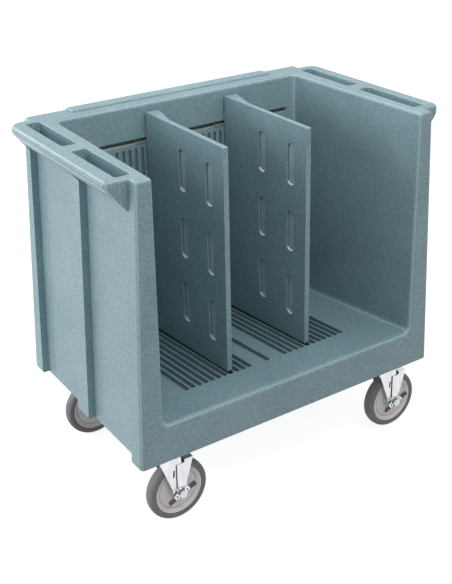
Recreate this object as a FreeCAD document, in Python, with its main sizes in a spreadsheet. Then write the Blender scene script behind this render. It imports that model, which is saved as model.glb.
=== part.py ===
import FreeCAD, Part
import math
import os
import re
import Sketcher

# Dish cart: a one-piece moulded body on four swivel casters, with two lift-out dividers.
# Frame: +Z up, z = 0 on the floor, +X along the long side, the open front faces -Y.

SIZES = [
    # Moulded body
    ("body_width", 874, "across the end walls at the skirt"),
    ("body_depth", 580, "front face to back face at the skirt"),
    ("wall_height", 696, "skirt to the rim"),
    ("end_draft", 23.8, "how far each end wall leans in at the rim"),
    ("back_draft", 18, "how far the back wall leans in at the rim"),
    ("corner_radius", 10, "upright outer corners"),
    ("foot_radius", 5, "lower outer edge"),
    ("rim_radius", 10, "all edges of the rim"),
    ("lip_radius", 12, "front edge of the bay"),
    ("overrun", 1, "how far a cut runs past a face, or a pad into its base"),
    # Bay
    ("end_wall_front", 65, "thickness of the end walls at the front and the skirt"),
    ("end_wall_back", 77, "thickness of the end walls at the back and the skirt"),
    ("back_wall", 94.5, "thickness of the back wall at the skirt"),
    ("bay_corner", 16, "inner corners of the bay"),
    ("apron_height", 99, "skirt to the bay floor's front edge"),
    ("floor_fall", 0.1, "drop of the bay floor per millimetre towards the back"),
    # Handles along the tops of the end walls
    ("handle_reach", 28, "how far the handles stand out beyond the skirt"),
    ("handle_root", 48, "how far the handle's block runs into the end wall"),
    ("handle_front", 33, "front face to the handles' front ends"),
    ("handle_back", 46, "back face to the handles' back ends"),
    ("handle_drop", 76, "rim to where the underside meets the wall"),
    ("handle_edge", 15, "height of the handle's outer edge"),
    ("handle_nose", 30, "plan radius of the back corners"),
    ("handle_tip", 14, "plan radius of the front corners"),
    ("handle_soft", 2, "lower outer edge of the handle"),
    ("grip_set_in", 50.5, "handle's outer edge to the middle of a grip pocket"),
    ("grip_width", 36, "across a grip pocket"),
    ("grip_corner", 6, "plan radius of the pocket's corners"),
    ("grip_depth", 30, "rim to the pocket's floor"),
    ("grip_soft", 3, "upper edges of the grip pockets"),
    ("front_grip_start", 51, "front face to the front pocket"),
    ("front_grip_length", 206, "length of the front pocket"),
    ("back_grip_start", 300, "front face to the back pocket"),
    ("back_grip_end", 75, "back face to the back pocket"),
    # Recessed panels in the end walls
    ("panel_recess", 18, "depth of the recessed panels"),
    ("front_post", 46.5, "front face to the front panel"),
    ("front_panel", 217, "length of the front panel"),
    ("middle_rib", 58, "rib between the panels"),
    ("back_post", 49, "back face to the back panel"),
    ("panel_rise", 20, "how far the panels run up behind the handle's underside"),
    # Back wall
    ("ridge_end", 137, "from the ridge to the end walls at the skirt"),
    ("ridge_width", 36, "front to back"),
    ("ridge_rise", 5, "above the rim"),
    ("ridge_radius", 4.5, "upper edges of the ridge"),
    ("ridge_set_in", 4, "from the back edge of the rim"),
    ("slot_end", 30, "from the divider rail's slot to the bay's end walls"),
    ("slot_height", 13.5, "opening of the slot"),
    ("slot_below_rim", 90, "rim to the slot's upper edge"),
    ("slot_depth", 20, "into the back wall"),
    ("rib_top_below_rim", 115, "rim to the top of the ribbed panel"),
    ("wall_groove_width", 9, "upright grooves of the back wall"),
    ("wall_groove_depth", 5, "into the back wall"),
    ("wall_groove_reach", 16, "pitches from the middle to the last groove"),
    # Bay floor
    ("groove_pitch", 18.45, "spacing of the grooves"),
    ("groove_width", 15, "across a floor groove"),
    ("groove_depth", 10, "below the bay floor"),
    ("groove_start", 115, "front face to the grooves' front ends"),
    ("first_groove", 3, "pitches from the middle groove to the next one"),
    ("groove_run", 11, "grooves on each side of the middle one"),
    # Dividers
    ("divider_thickness", 14, "panel"),
    ("divider_front", 126, "front face to the divider's front edge"),
    ("divider_back_gap", 5.5, "between the divider and the back wall"),
    ("divider_below_rim", 22, "rim to the divider's top edge"),
    ("divider_foot_gap", 0.2, "foot above the groove's floor"),
    ("divider_corner", 4, "corners of the divider's outline"),
    ("left_divider_groove", -6, "groove that holds the left divider"),
    ("right_divider_groove", 7, "groove that holds the right divider"),
    ("flare_length", 93, "wedge at the divider's upper back corner"),
    ("flare_width", 24, "wedge's extra thickness at the back"),
    ("flare_height", 104, "wedge below the divider's top"),
    ("window_width", 28, "blind slots in the divider"),
    ("window_height", 108, "blind slots in the divider"),
    ("window_corner", 12.6, "corners of the blind slots"),
    ("window_depth", 5, "into each face"),
    ("window_soft", 1.5, "outer edges of the blind slots"),
    ("window_below_rim", 77, "rim to the top row of slots"),
    ("window_foot", 52, "bay floor's front edge to the lowest slots"),
    ("window_front", 63, "divider's front edge to the front column"),
    ("window_fore", 24.5, "back column before the middle of the rest of the divider"),
    ("window_dish", 3, "inner edges of the blind slots"),
    # Divider rail and hooks
    ("rail_width", 5, "front to back"),
    ("rail_height", 3.5, "thickness of the rail"),
    ("rail_set_in", 1.5, "behind the back wall's inner face"),
    ("rail_screw_end", 53.25, "outer rail screws from the rail's ends"),
    ("rail_screw_shank", 3, "diameter"),
    ("rail_screw_length", 13, "below the rail's top"),
    ("hook_gauge", 2, "sheet thickness"),
    ("hook_width", 72, "across the hook plate"),
    ("hook_height", 56, "flange on the divider"),
    ("hook_seat_gap", 0.1, "tongue above the rail"),
    ("hook_lip", 2, "lip below the tongue's underside"),
    ("hook_lip_gap", 6, "lip behind the rail"),
    ("hook_screw_head", 8, "diameter"),
    ("hook_screw_head_height", 2.4, "pan head"),
    ("hook_screw_shank", 4, "diameter"),
    ("hook_screw_length", 16, "into the divider"),
    ("hook_screw_step", 32, "between the two screws"),
    # Casters
    ("caster_from_face", 70, "swivel axis to the front or back face"),
    ("caster_from_end", 95.5, "swivel axis to the end wall at the skirt"),
    ("plate_clear", 10, "race cup to the caster plate"),
    ("pad_drop", 4, "moulded caster pads below the skirt"),
    ("caster_trail", 32, "swivel axis to axle"),
    ("wheel_diameter", 160, "tyre"),
    ("tyre_width", 31, "tread"),
    ("tyre_soft", 7, "tread shoulders"),
    ("tyre_inner", 126, "diameter of the wheel's rim"),
    ("rim_lip", 5, "radial width of the wheel's rim edge"),
    ("core_width", 27, "wheel centre over its rim"),
    ("core_dish", 3, "web below the rim's edge"),
    ("hub_diameter", 36, "boss in the wheel's middle"),
    ("hub_width", 36, "boss over its ends"),
    ("bush_diameter", 17, "outer diameter of the axle bush"),
    ("axle_diameter", 12, "axle bolt"),
    ("running_gap", 0.05, "radial clearance of turning fits"),
    ("face_gap", 0.3, "clearance between faces that pass each other"),
    ("fork_gauge", 4, "sheet thickness of the fork"),
    ("fork_gap", 37.2, "between the fork's legs"),
    ("fork_bend", 3.2, "outer radius of the bend from crown to leg"),
    ("crown_half", 34, "crown from the swivel axis to its ends"),
    ("crown_clear", 20, "tyre to the crown's underside"),
    ("leg_root", 23, "swivel axis to the leg's rear edge below the crown"),
    ("leg_end", 22, "axle to the leg's rear edge"),
    ("leg_fore", 12, "axle to the leg's leading edge"),
    ("leg_drop", 12, "axle to the leg's lower end"),
    ("leg_radius", 11, "corners of the leg's lower end"),
    ("race_outer", 33, "radius of the lower race cup"),
    ("race_inner", 29, "bore radius of the lower race cup"),
    ("race_hub", 19, "radius of the plate's race hub"),
    ("race_height", 14, "height of the race cup"),
    ("ball_count", 14, "balls in the swivel race"),
    ("ball_gap", 0.1, "clearance of the balls in the race"),
    ("kingpin_diameter", 12, "swivel pin"),
    ("kingpin_head", 22, "diameter of the pin's head"),
    ("kingpin_head_height", 5, "pin's head"),
    ("plate_length", 104, "caster plate along the cart"),
    ("plate_breadth", 86, "caster plate front to back"),
    ("plate_gauge", 4, "caster plate"),
    ("plate_corner", 9, "corners of the plate"),
    ("bolt_pattern_length", 80, "between bolt holes along the cart"),
    ("bolt_pattern_breadth", 64, "between bolt holes front to back"),
    ("pad_margin", 8, "moulded pad round the caster plate"),
    # Fasteners
    ("bolt_diameter", 8, "caster bolts"),
    ("bolt_hole_gap", 0.5, "radial clearance in the plate and washer"),
    ("bolt_head_across", 13, "across the flats"),
    ("bolt_head_height", 5.3, "hexagon head"),
    ("bolt_reach", 20, "above the plate's upper face"),
    ("washer_diameter", 17, "outer diameter"),
    ("washer_gauge", 1.6, "thickness"),
    ("insert_diameter", 13, "threaded inserts in the body"),
    ("insert_length", 26, "threaded inserts in the body"),
    ("axle_head_across", 19, "across the flats"),
    ("axle_head_height", 7, "bolt head and nut"),
    # Brakes on the front casters
    ("arm_gauge", 2.5, "sheet thickness of the brake arm"),
    ("arm_end", 11, "half the width of the arm's lower end"),
    ("arm_lean", 35, "arm's upper corner beyond the axle"),
    ("arm_rise", 90, "axle to the arm's upper edge"),
    ("arm_waist", 17, "arm's leading edge beyond the axle at its narrowest"),
    ("arm_waist_rise", 28, "axle to the arm's narrowest place"),
    ("arm_edge", 10, "arm's trailing edge behind the axle"),
    ("arm_shoulder", 80, "axle to the trailing edge's upper end"),
    ("arm_step", 82, "axle to the foot of the step below the flange"),
    ("flange_start", 11, "shoe flange from the axle"),
    ("flange_depth", 36, "shoe flange over the tread"),
    ("flange_gauge", 3, "shoe flange"),
    ("shoe_length", 22, "along the tread"),
    ("shoe_breadth", 20, "across the tread"),
    ("shoe_gap", 2.6, "shoe to tread with the brake off"),
    ("shoe_head_gap", 1.5, "shoe to flange with the brake off"),
    ("stem_diameter", 8, "guide stem of the shoe"),
    ("stem_rise", 3, "stem above the flange"),
    ("lever_gauge", 3, "sheet thickness of the rocker lever"),
    ("lever_tilt", 23, "rest angle of the lever in degrees"),
    ("lever_width", 15, "lever plate"),
    ("lever_corner", 4.5, "corners of the lever"),
    ("lever_long", 46, "axle to the raised end"),
    ("lever_short", 38, "axle to the lowered end"),
    ("pedal_length", 20, "rubber pad along the lever"),
    ("pedal_height", 9, "rubber pad across the lever"),
    ("pedal_depth", 5, "rubber pad in front of the lever"),
]

ALIASES = {alias for alias, value, meaning in SIZES}
DERIVED = {
    "caster_height": "(wheel_diameter + crown_clear + fork_gauge + race_height + plate_clear + plate_gauge)",
    "skirt_height": "(caster_height + pad_drop)",
    "lip_height": "(skirt_height + apron_height)",
    "rim_height": "(skirt_height + wall_height)",
    "bay_depth": "(body_depth - back_wall)",
    "bay_width_front": "(body_width - 2 * end_wall_front)",
    "bay_width_back": "(body_width - 2 * end_wall_back)",
    "handle_span": "(body_width + 2 * handle_reach)",
    "grip_spread": "(handle_span - 2 * grip_set_in)",
    "back_grip_length": "(body_depth - back_grip_start - back_grip_end)",
    "back_panel": "(body_depth - front_post - front_panel - middle_rib - back_post)",
    "ridge_length": "(body_width - 2 * ridge_end)",
    "slot_length": "(bay_width_back - 2 * slot_end)",
    "rail_screw_spread": "(slot_length / 2 - rail_screw_end)",
    "window_step": "((rim_height - window_below_rim - window_height - lip_height - window_foot) / 2)",
    "caster_spread": "(body_width - 2 * caster_from_end)",
    "front_windows": "(divider_front + window_front)",
    "back_windows": "((front_windows + bay_depth - divider_back_gap) / 2 - window_fore)",
}
CASTERS = {
    "front_left": (-1, -1),
    "front_right": (1, -1),
    "back_left": (-1, 1),
    "back_right": (1, 1),
}

doc = FreeCAD.newDocument("dish_cart")
sheet = doc.addObject("Spreadsheet::Sheet", "Dims")
for row, (alias, value, meaning) in enumerate(SIZES, 1):
    sheet.set(f"A{row}", alias)
    sheet.set(f"B{row}", str(value))
    sheet.set(f"C{row}", meaning)
    sheet.setAlias(f"B{row}", alias)
doc.recompute()

nodes = []


def sized(text):
    """Writes out the derived sizes in an expression and puts the sheet's name before each size."""
    while any(name in DERIVED for name in re.findall(r"[a-z_]\w*", text)):
        text = re.sub(r"[a-z_]\w*", lambda m: DERIVED.get(m.group(), m.group()), text)
    return re.sub(r"[a-z_]\w*", lambda m: f"Dims.{m.group()}" if m.group() in ALIASES else m.group(), text)


def number(text):
    """Works out an expression of the sheet's sizes."""
    result = sheet.evalExpression(sized(text))
    return getattr(result, "Value", result)


def bind(item, **expressions):
    """Ties an object's properties to the sheet."""
    for prop, text in expressions.items():
        item.setExpression(prop, sized(text))
    return item


def place(item, x="0", y="0", z="0"):
    """Ties an object's place to the sheet."""
    for axis, text in zip("xyz", (x, y, z)):
        item.setExpression(f"Placement.Base.{axis}", sized(text))
    return item


def node(item, label):
    """Names a finished piece and keeps it for export."""
    item.Label = label
    nodes.append(item)
    return item


def new_body(label):
    """Starts a piece that is made by features."""
    return node(doc.addObject("PartDesign::Body", label), label)


def origin_plane(body, role):
    return next(f for f in body.Origin.OriginFeatures if f.Role == role)


def sketch(body, role, outlines=(), circles=(), level="0"):
    """Draws closed outlines and circles on one of the body's origin planes, each point tied to the sheet."""
    drawing = body.newObject("Sketcher::SketchObject", "Sketch")
    drawing.AttachmentSupport = [(origin_plane(body, role), "")]
    drawing.MapMode = "FlatFace"
    drawing.setExpression("AttachmentOffset.Base.z", sized(level))
    for outline in outlines:
        first = drawing.GeometryCount
        spots = [FreeCAD.Vector(number(a), number(b), 0) for a, b in outline]
        count = len(spots)
        for i in range(count):
            drawing.addGeometry(Part.LineSegment(spots[i], spots[(i + 1) % count]), False)
        for i in range(count):
            drawing.addConstraint(Sketcher.Constraint("Coincident", first + i, 2, first + (i + 1) % count, 1))
        for i, (a, b) in enumerate(outline):
            tie_point(drawing, first + i, 1, a, b)
    for a, b, radius in circles:
        centre = FreeCAD.Vector(number(a), number(b), 0)
        index = drawing.addGeometry(Part.Circle(centre, FreeCAD.Vector(0, 0, 1), number(radius)), False)
        tie_point(drawing, index, 3, a, b)
        rule = drawing.addConstraint(Sketcher.Constraint("Radius", index, number(radius)))
        drawing.setExpression(f"Constraints[{rule}]", sized(radius))
    return drawing


def tie_point(drawing, index, end, a, b):
    """Holds one sketch point at two expressions from the sketch's origin."""
    for kind, text in (("DistanceX", a), ("DistanceY", b)):
        rule = drawing.addConstraint(Sketcher.Constraint(kind, -1, 1, index, end, number(text)))
        drawing.setExpression(f"Constraints[{rule}]", sized(text))


def pad(body, drawing, length, both=False, back=False):
    """Extrudes a sketch along its normal, or evenly to both sides."""
    feature = body.newObject("PartDesign::Pad", "Pad")
    feature.Profile = drawing
    bind(feature, Length=length)
    feature.Midplane = both
    feature.Reversed = back
    doc.recompute()
    return feature


def pocket(body, drawing, length, both=False, back=False):
    """Cuts a sketch into the body and makes sure that it cut."""
    before = body.Shape.Volume
    feature = body.newObject("PartDesign::Pocket", "Pocket")
    feature.Profile = drawing
    bind(feature, Length=length)
    feature.Midplane = both
    feature.Reversed = back
    doc.recompute()
    if not body.Shape.Volume < before:
        raise RuntimeError(f"a pocket of {body.Label} cuts nothing")
    return feature


def revolve(body, drawing):
    """Turns a sketch on the XY plane about the sketch's vertical axis, which lies along Y."""
    feature = body.newObject("PartDesign::Revolution", "Revolution")
    feature.Profile = drawing
    feature.ReferenceAxis = (drawing, ["V_Axis"])
    feature.Angle = 360
    doc.recompute()
    return feature


def primitive(body, kind, turn=None, x="0", y="0", z="0", **sizes):
    """Adds or cuts a sized primitive, turned about an axis by an angle in degrees, at a place."""
    feature = body.newObject(f"PartDesign::{kind}", kind)
    if turn:
        feature.Placement = FreeCAD.Placement(FreeCAD.Vector(), FreeCAD.Rotation(turn[0], turn[1]))
    bind(feature, **sizes)
    place(feature, x, y, z)
    doc.recompute()
    return feature


def soften(body, radius, wanted):
    """Rounds the edges of the body's last feature for which wanted says yes."""
    base = body.Tip
    names = [f"Edge{i}" for i, edge in enumerate(base.Shape.Edges, 1) if wanted(edge)]
    if not names:
        raise RuntimeError(f"no edge to round on {body.Label}")
    feature = body.newObject("PartDesign::Fillet", "Fillet")
    feature.Base = (base, names)
    bind(feature, Radius=radius)
    doc.recompute()
    if "Invalid" in feature.State:
        raise RuntimeError(f"the edges of {body.Label} take no radius of {radius}")
    return feature


def repeat(body, features, axis_role, step, count):
    """Copies features in a row along one of the body's origin axes."""
    pattern = body.newObject("PartDesign::LinearPattern", "Row")
    pattern.Originals = features
    axis = next(f for f in body.Origin.OriginFeatures if f.Role == axis_role)
    pattern.Direction = (axis, [""])
    pattern.Mode = "Spacing"
    bind(pattern, Offset=step, Occurrences=count)
    body.Tip = pattern
    doc.recompute()
    return pattern


def middle(edge):
    return edge.valueAt((edge.FirstParameter + edge.LastParameter) / 2)


def runs_along(edge, axis):
    """Says whether a straight edge runs along an axis, within a few degrees."""
    ends = edge.lastVertex().Point - edge.firstVertex().Point
    return ends.Length > 1e-6 and abs(ends.normalize().dot(axis)) > 0.99


X_AXIS = FreeCAD.Vector(1, 0, 0)
Y_AXIS = FreeCAD.Vector(0, 1, 0)
Z_AXIS = FreeCAD.Vector(0, 0, 1)
UPRIGHT_WEDGE = (X_AXIS, 90)

FRONT = "-body_depth / 2"
BACK_WALL = "(bay_depth - body_depth / 2)"
HANDLE_FOOT = "(rim_height - handle_drop)"


def end_wall_at(height):
    """Half the body's width at a height."""
    return f"(body_width / 2 - end_draft * ({height} - skirt_height) / (rim_height - skirt_height))"


def floor_at(depth):
    """Height of the bay floor at a depth behind the front face."""
    return f"(lip_height - floor_fall * {depth})"


def make_cart_body():
    """The moulded body: drafted block, handles, bay, panels, grip pockets, slot, grooves and pads."""
    body = new_body("cart_body")
    primitive(body, "AdditiveWedge", UPRIGHT_WEDGE, Ymin="skirt_height", Ymax="rim_height",
              Xmin="-body_width / 2", Xmax="body_width / 2",
              X2min="end_draft - body_width / 2", X2max="body_width / 2 - end_draft",
              Zmin="-body_depth / 2", Zmax="body_depth / 2",
              Z2min="back_draft - body_depth / 2", Z2max="body_depth / 2")
    soften(body, "corner_radius", lambda e: runs_along(e, Z_AXIS))
    skirt = number("skirt_height")
    soften(body, "foot_radius", lambda e: abs(e.BoundBox.ZMax - skirt) < 0.01)
    add_handles(body)
    cut_bay(body)
    soften_rim(body)
    cut_panels(body)
    cut_grips(body)
    cut_rail_slot(body)
    cut_grooves(body)
    add_ridge(body)
    add_caster_pads(body)


def add_handles(body):
    """Full-length handles that overhang the end walls, with a sloping underside."""
    wall = end_wall_at(HANDLE_FOOT)
    blocks = []
    slopes = []
    for side in ("-1", "1"):
        inner = f"{side} * (body_width / 2 - handle_root)"
        outer = f"{side} * handle_span / 2"
        front = "handle_front - body_depth / 2"
        back = "body_depth / 2 - handle_back"
        blocks.append([(inner, front), (outer, front), (outer, back), (inner, back)])
        below = "(rim_height - handle_drop - overrun)"
        edge = "rim_height - handle_edge"
        foot = f"{side} * ({wall} + face_gap)"
        beyond = f"{side} * (handle_span / 2 + overrun)"
        slopes.append([(foot, below), (foot, HANDLE_FOOT), (outer, edge), (beyond, edge), (beyond, below)])
    pad(body, sketch(body, "XY_Plane", blocks, level=HANDLE_FOOT), "handle_drop")
    reach = number("handle_span / 2")
    soften(body, "handle_nose", lambda e: is_handle_corner(e, reach) and middle(e).y > 0)
    soften(body, "handle_tip", lambda e: is_handle_corner(e, reach) and middle(e).y < 0)
    pocket(body, sketch(body, "XZ_Plane", slopes), "body_depth", both=True)


def is_handle_corner(edge, reach):
    return runs_along(edge, Z_AXIS) and abs(abs(middle(edge).x) - reach) < 0.01


def cut_bay(body):
    """The open bay: it narrows towards the back, and its floor falls that way."""
    past = "overrun * (bay_width_front - bay_width_back) / (2 * bay_depth)"
    primitive(body, "SubtractiveWedge", Ymin=f"{FRONT} - overrun", Ymax=BACK_WALL,
              Xmin=f"-bay_width_front / 2 - {past}", Xmax=f"bay_width_front / 2 + {past}",
              X2min="-bay_width_back / 2", X2max="bay_width_back / 2",
              Zmin="lip_height + overrun * floor_fall", Zmax="rim_height + overrun",
              Z2min=floor_at("bay_depth"), Z2max="rim_height + overrun")
    back = number(BACK_WALL)
    half = number("bay_width_front / 2") + 1
    low = number(floor_at("bay_depth")) - 1
    front = number(FRONT)

    def inside(edge):
        box = edge.BoundBox
        return (box.YMax < back + 0.01 and box.YMin > front - 0.01 and abs(middle(edge).x) < half
                and box.ZMin > low)

    def inner_corner(edge):
        box = edge.BoundBox
        upright = box.YMin > back - 0.01 and runs_along(edge, Z_AXIS)
        across = box.YMin > back - 0.01 and runs_along(edge, X_AXIS) and box.ZMax < low + 2
        along = runs_along(edge, Y_AXIS) and box.ZMax < number("lip_height") + 1 and box.YLength > 100
        return inside(edge) and (upright or across or along)

    soften(body, "bay_corner", inner_corner)
    lip = number("lip_height") - 1

    def front_edge(edge):
        box = edge.BoundBox
        return box.YMax < front + 0.01 and abs(middle(edge).x) < half and box.ZMin > lip

    soften(body, "lip_radius", front_edge)


def soften_rim(body):
    """All edges of the rim, and the lower outer edges of the handles."""
    top = number("rim_height")
    soften(body, "rim_radius", lambda e: e.BoundBox.ZMin > top - 0.01)
    reach = number("handle_span / 2")
    edge_height = number("rim_height - handle_edge")
    soften(body, "handle_soft", lambda e: (runs_along(e, Y_AXIS) and abs(abs(middle(e).x) - reach) < 0.01
                                           and abs(middle(e).z - edge_height) < 0.01))


def cut_panels(body):
    """Two recessed panels in each end wall, open at the skirt."""
    head = f"({HANDLE_FOOT} + panel_rise)"
    low = "(skirt_height - overrun)"
    starts = {"front_panel": "front_post", "back_panel": "(front_post + front_panel + middle_rib)"}
    for side in (-1, 1):
        for panel, start in starts.items():
            inner_low = f"({end_wall_at(low)} - panel_recess)"
            inner_high = f"({end_wall_at(head)} - panel_recess)"
            outer = "(handle_span / 2)"
            near, far = (inner_low, outer) if side > 0 else (f"-{outer}", f"-{inner_low}")
            near_top, far_top = (inner_high, outer) if side > 0 else (f"-{outer}", f"-{inner_high}")
            front = f"body_depth / 2 - {start}"
            back = f"body_depth / 2 - {start} - {panel}"
            primitive(body, "SubtractiveWedge", UPRIGHT_WEDGE, Ymin=low, Ymax=head,
                      Xmin=near, Xmax=far, X2min=near_top, X2max=far_top,
                      Zmin=back, Zmax=front, Z2min=back, Z2max=front)


def cut_grips(body):
    """Long round-ended grip pockets in the tops of the handles."""
    grips = (("front_grip_start", "front_grip_length"), ("back_grip_start", "back_grip_length"))
    outlines = []
    for side in ("-1", "1"):
        for start, length in grips:
            near = f"{side} * (grip_spread - grip_width) / 2"
            far = f"{side} * (grip_spread + grip_width) / 2"
            first = f"{start} - body_depth / 2"
            last = f"{start} + {length} - body_depth / 2"
            outlines.append([(near, first), (far, first), (far, last), (near, last)])
    pocket(body, sketch(body, "XY_Plane", outlines, level="rim_height"), "grip_depth")
    top = number("rim_height")
    grip_floor = number("rim_height - grip_depth")

    def pocket_corner(edge):
        return (runs_along(edge, Z_AXIS) and abs(edge.BoundBox.ZMin - grip_floor) < 0.01
                and abs(edge.BoundBox.ZMax - top) < 0.01)

    soften(body, "grip_corner", pocket_corner)
    reach = number("handle_span / 2 - grip_set_in")
    half = number("grip_width / 2") + 0.01
    spans = [(number(f"{start} - body_depth / 2"), number(f"{start} + {length} - body_depth / 2"))
             for start, length in grips]

    def pocket_edge(edge):
        box = edge.BoundBox
        across = max(abs(abs(box.XMin) - reach), abs(abs(box.XMax) - reach)) < half
        along = any(box.YMin > first - 0.01 and box.YMax < last + 0.01 for first, last in spans)
        return box.ZMin > top - 0.01 and across and along

    soften(body, "grip_soft", pocket_edge)


def cut_rail_slot(body):
    """Slot along the back wall that holds the divider rail, with the rail's screw holes."""
    primitive(body, "SubtractiveBox", x="-slot_length / 2", y=f"{BACK_WALL} - overrun",
              z="rim_height - slot_below_rim - slot_height",
              Length="slot_length", Width="slot_depth + overrun", Height="slot_height")
    for step in ("-1", "0", "1"):
        primitive(body, "SubtractiveCylinder", x=f"{step} * rail_screw_spread",
                  y=f"{BACK_WALL} + rail_set_in + rail_width / 2",
                  z="rim_height - slot_below_rim - slot_height - rail_screw_length + rail_height",
                  Radius="rail_screw_shank / 2 + running_gap", Height="rail_screw_length")


def cut_grooves(body):
    """Front-to-back grooves of the bay floor and upright grooves of the back wall."""
    tilt = math.degrees(math.atan(number("floor_fall")))
    run = "(bay_depth - groove_start)"
    front = "groove_start - body_depth / 2"
    low = f"{floor_at('groove_start')} - groove_depth"

    def floor_groove(first):
        trough = primitive(body, "SubtractiveBox", (X_AXIS, -tilt), x=f"{first} - groove_width / 2",
                           y=f"{front} + groove_width / 2", z=f"{low} - floor_fall * groove_width / 2",
                           Length="groove_width", Width=f"{run} - groove_width / 2",
                           Height="groove_depth + bay_corner")
        end = primitive(body, "SubtractiveCylinder", (X_AXIS, -tilt), x=first,
                        y=f"{front} + groove_width / 2", z=f"{low} - floor_fall * groove_width / 2",
                        Radius="groove_width / 2", Height="groove_depth + bay_corner")
        return [trough, end]

    floor_groove("0")
    for side in ("-1", "1"):
        start = f"min({side} * first_groove; {side} * (first_groove + groove_run - 1)) * groove_pitch"
        repeat(body, floor_groove(start), "X_Axis", "groove_pitch", "groove_run")
    top = "(rim_height - rib_top_below_rim)"
    first = "-wall_groove_reach * groove_pitch"
    foot = f"({floor_at('bay_depth')} + bay_corner + groove_depth)"
    half = "wall_groove_width / 2"
    left, right = f"{first} - {half}", f"{first} + {half}"
    shoulder = f"{top} - {half}"
    groove = [(left, foot), (right, foot), (right, shoulder), (f"{right} - {half} / 2", top),
              (f"{left} + {half} / 2", top), (left, shoulder)]
    cut = pocket(body, sketch(body, "XZ_Plane", [groove], level=f"-{BACK_WALL}"), "wall_groove_depth")
    repeat(body, [cut], "X_Axis", "groove_pitch", "2 * wall_groove_reach + 1")


def add_ridge(body):
    """Raised ridge along the back rim."""
    primitive(body, "AdditiveBox", x="-ridge_length / 2",
              y="body_depth / 2 - back_draft - ridge_set_in - ridge_width", z="rim_height - overrun",
              Length="ridge_length", Width="ridge_width", Height="ridge_rise + overrun")
    top = number("rim_height + ridge_rise")
    soften(body, "ridge_radius", lambda e: e.BoundBox.ZMin > top - 0.01)


def caster_spot(corner):
    """Swivel axis of a caster, as expressions."""
    along, deep = CASTERS[corner]
    return f"{along} * caster_spread / 2", f"{deep} * (body_depth / 2 - caster_from_face)"


def bolt_spots(corner):
    """The four bolts of a caster plate."""
    x, y = caster_spot(corner)
    return [(f"{x} + {a} * bolt_pattern_length / 2", f"{y} + {b} * bolt_pattern_breadth / 2")
            for a in (-1, 1) for b in (-1, 1)]


def add_caster_pads(body):
    """Moulded pads under the corners, with bores for the threaded inserts."""
    blocks = []
    bores = []
    for corner in CASTERS:
        x, y = caster_spot(corner)
        half_x = "(plate_length / 2 + pad_margin)"
        half_y = "(plate_breadth / 2 + pad_margin)"
        blocks.append([(f"{x} + {a} * {half_x}", f"{y} + {b} * {half_y}")
                       for a, b in ((-1, -1), (1, -1), (1, 1), (-1, 1))])
        bores += [(a, b, "insert_diameter / 2 + running_gap") for a, b in bolt_spots(corner)]
    pad(body, sketch(body, "XY_Plane", blocks, level="caster_height"),
        "skirt_height - caster_height + overrun")
    pocket(body, sketch(body, "XY_Plane", circles=bores, level="caster_height"), "insert_length", back=True)


def make_divider(side, groove):
    """Divider panel with blind slots and a wedge at its upper back corner, and its hook plate and screws."""
    middle_x = f"{groove} * groove_pitch"
    back = f"({BACK_WALL} - divider_back_gap)"
    front = "(divider_front - body_depth / 2)"
    top = "(rim_height - divider_below_rim)"
    foot_front = f"({floor_at('divider_front')} - groove_depth + divider_foot_gap)"
    foot_back = f"({floor_at('(bay_depth - divider_back_gap)')} - groove_depth + divider_foot_gap)"
    body = new_body(f"{side}_divider")
    place(body, x=middle_x)
    panel = [(front, foot_front), (back, foot_back), (back, top), (front, top)]
    pad(body, sketch(body, "YZ_Plane", [panel]), "divider_thickness", both=True)
    corner_y = number(front)
    soften(body, "divider_corner", lambda e: runs_along(e, X_AXIS) and middle(e).y < corner_y + 1)
    wedge = [("divider_thickness / 2 - overrun", back),
             ("divider_thickness / 2 - overrun", f"{back} - flare_length"),
             ("divider_thickness / 2", f"{back} - flare_length"),
             ("divider_thickness / 2 + flare_width", back)]
    pad(body, sketch(body, "XY_Plane", [wedge], level=f"{top} - flare_height"), "flare_height")
    windows = []
    for column in ("front_windows", "back_windows"):
        for row in range(3):
            head = f"(rim_height - window_below_rim - {row} * window_step)"
            left = f"{column} - body_depth / 2 - window_width / 2"
            right = f"{column} - body_depth / 2 + window_width / 2"
            windows.append([(left, f"{head} - window_height"), (right, f"{head} - window_height"),
                            (right, head), (left, head)])
    pocket(body, sketch(body, "YZ_Plane", windows, level="-divider_thickness / 2"), "window_depth", back=True)
    pocket(body, sketch(body, "YZ_Plane", windows, level="divider_thickness / 2"), "window_depth")
    depth = number("window_depth")
    lowest = number("lip_height")
    soften(body, "window_corner", lambda e: runs_along(e, X_AXIS) and abs(e.Length - depth) < 0.01)
    face = number("divider_thickness / 2")
    columns = [number(f"{column} - body_depth / 2") for column in ("front_windows", "back_windows")]
    half = number("window_width / 2") + 0.01
    soften(body, "window_soft", lambda e: (e.BoundBox.XLength < 0.01 and abs(abs(middle(e).x) - face) < 0.01
                                           and min(abs(middle(e).y - column) for column in columns) < half
                                           and e.BoundBox.YLength < 2 * half and e.BoundBox.ZMin > lowest))
    inner = number("divider_thickness / 2 - window_depth")
    soften(body, "window_dish", lambda e: (e.BoundBox.XLength < 0.01 and abs(abs(middle(e).x) - inner) < 0.01))
    make_hook(side, body, middle_x, back)


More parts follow.
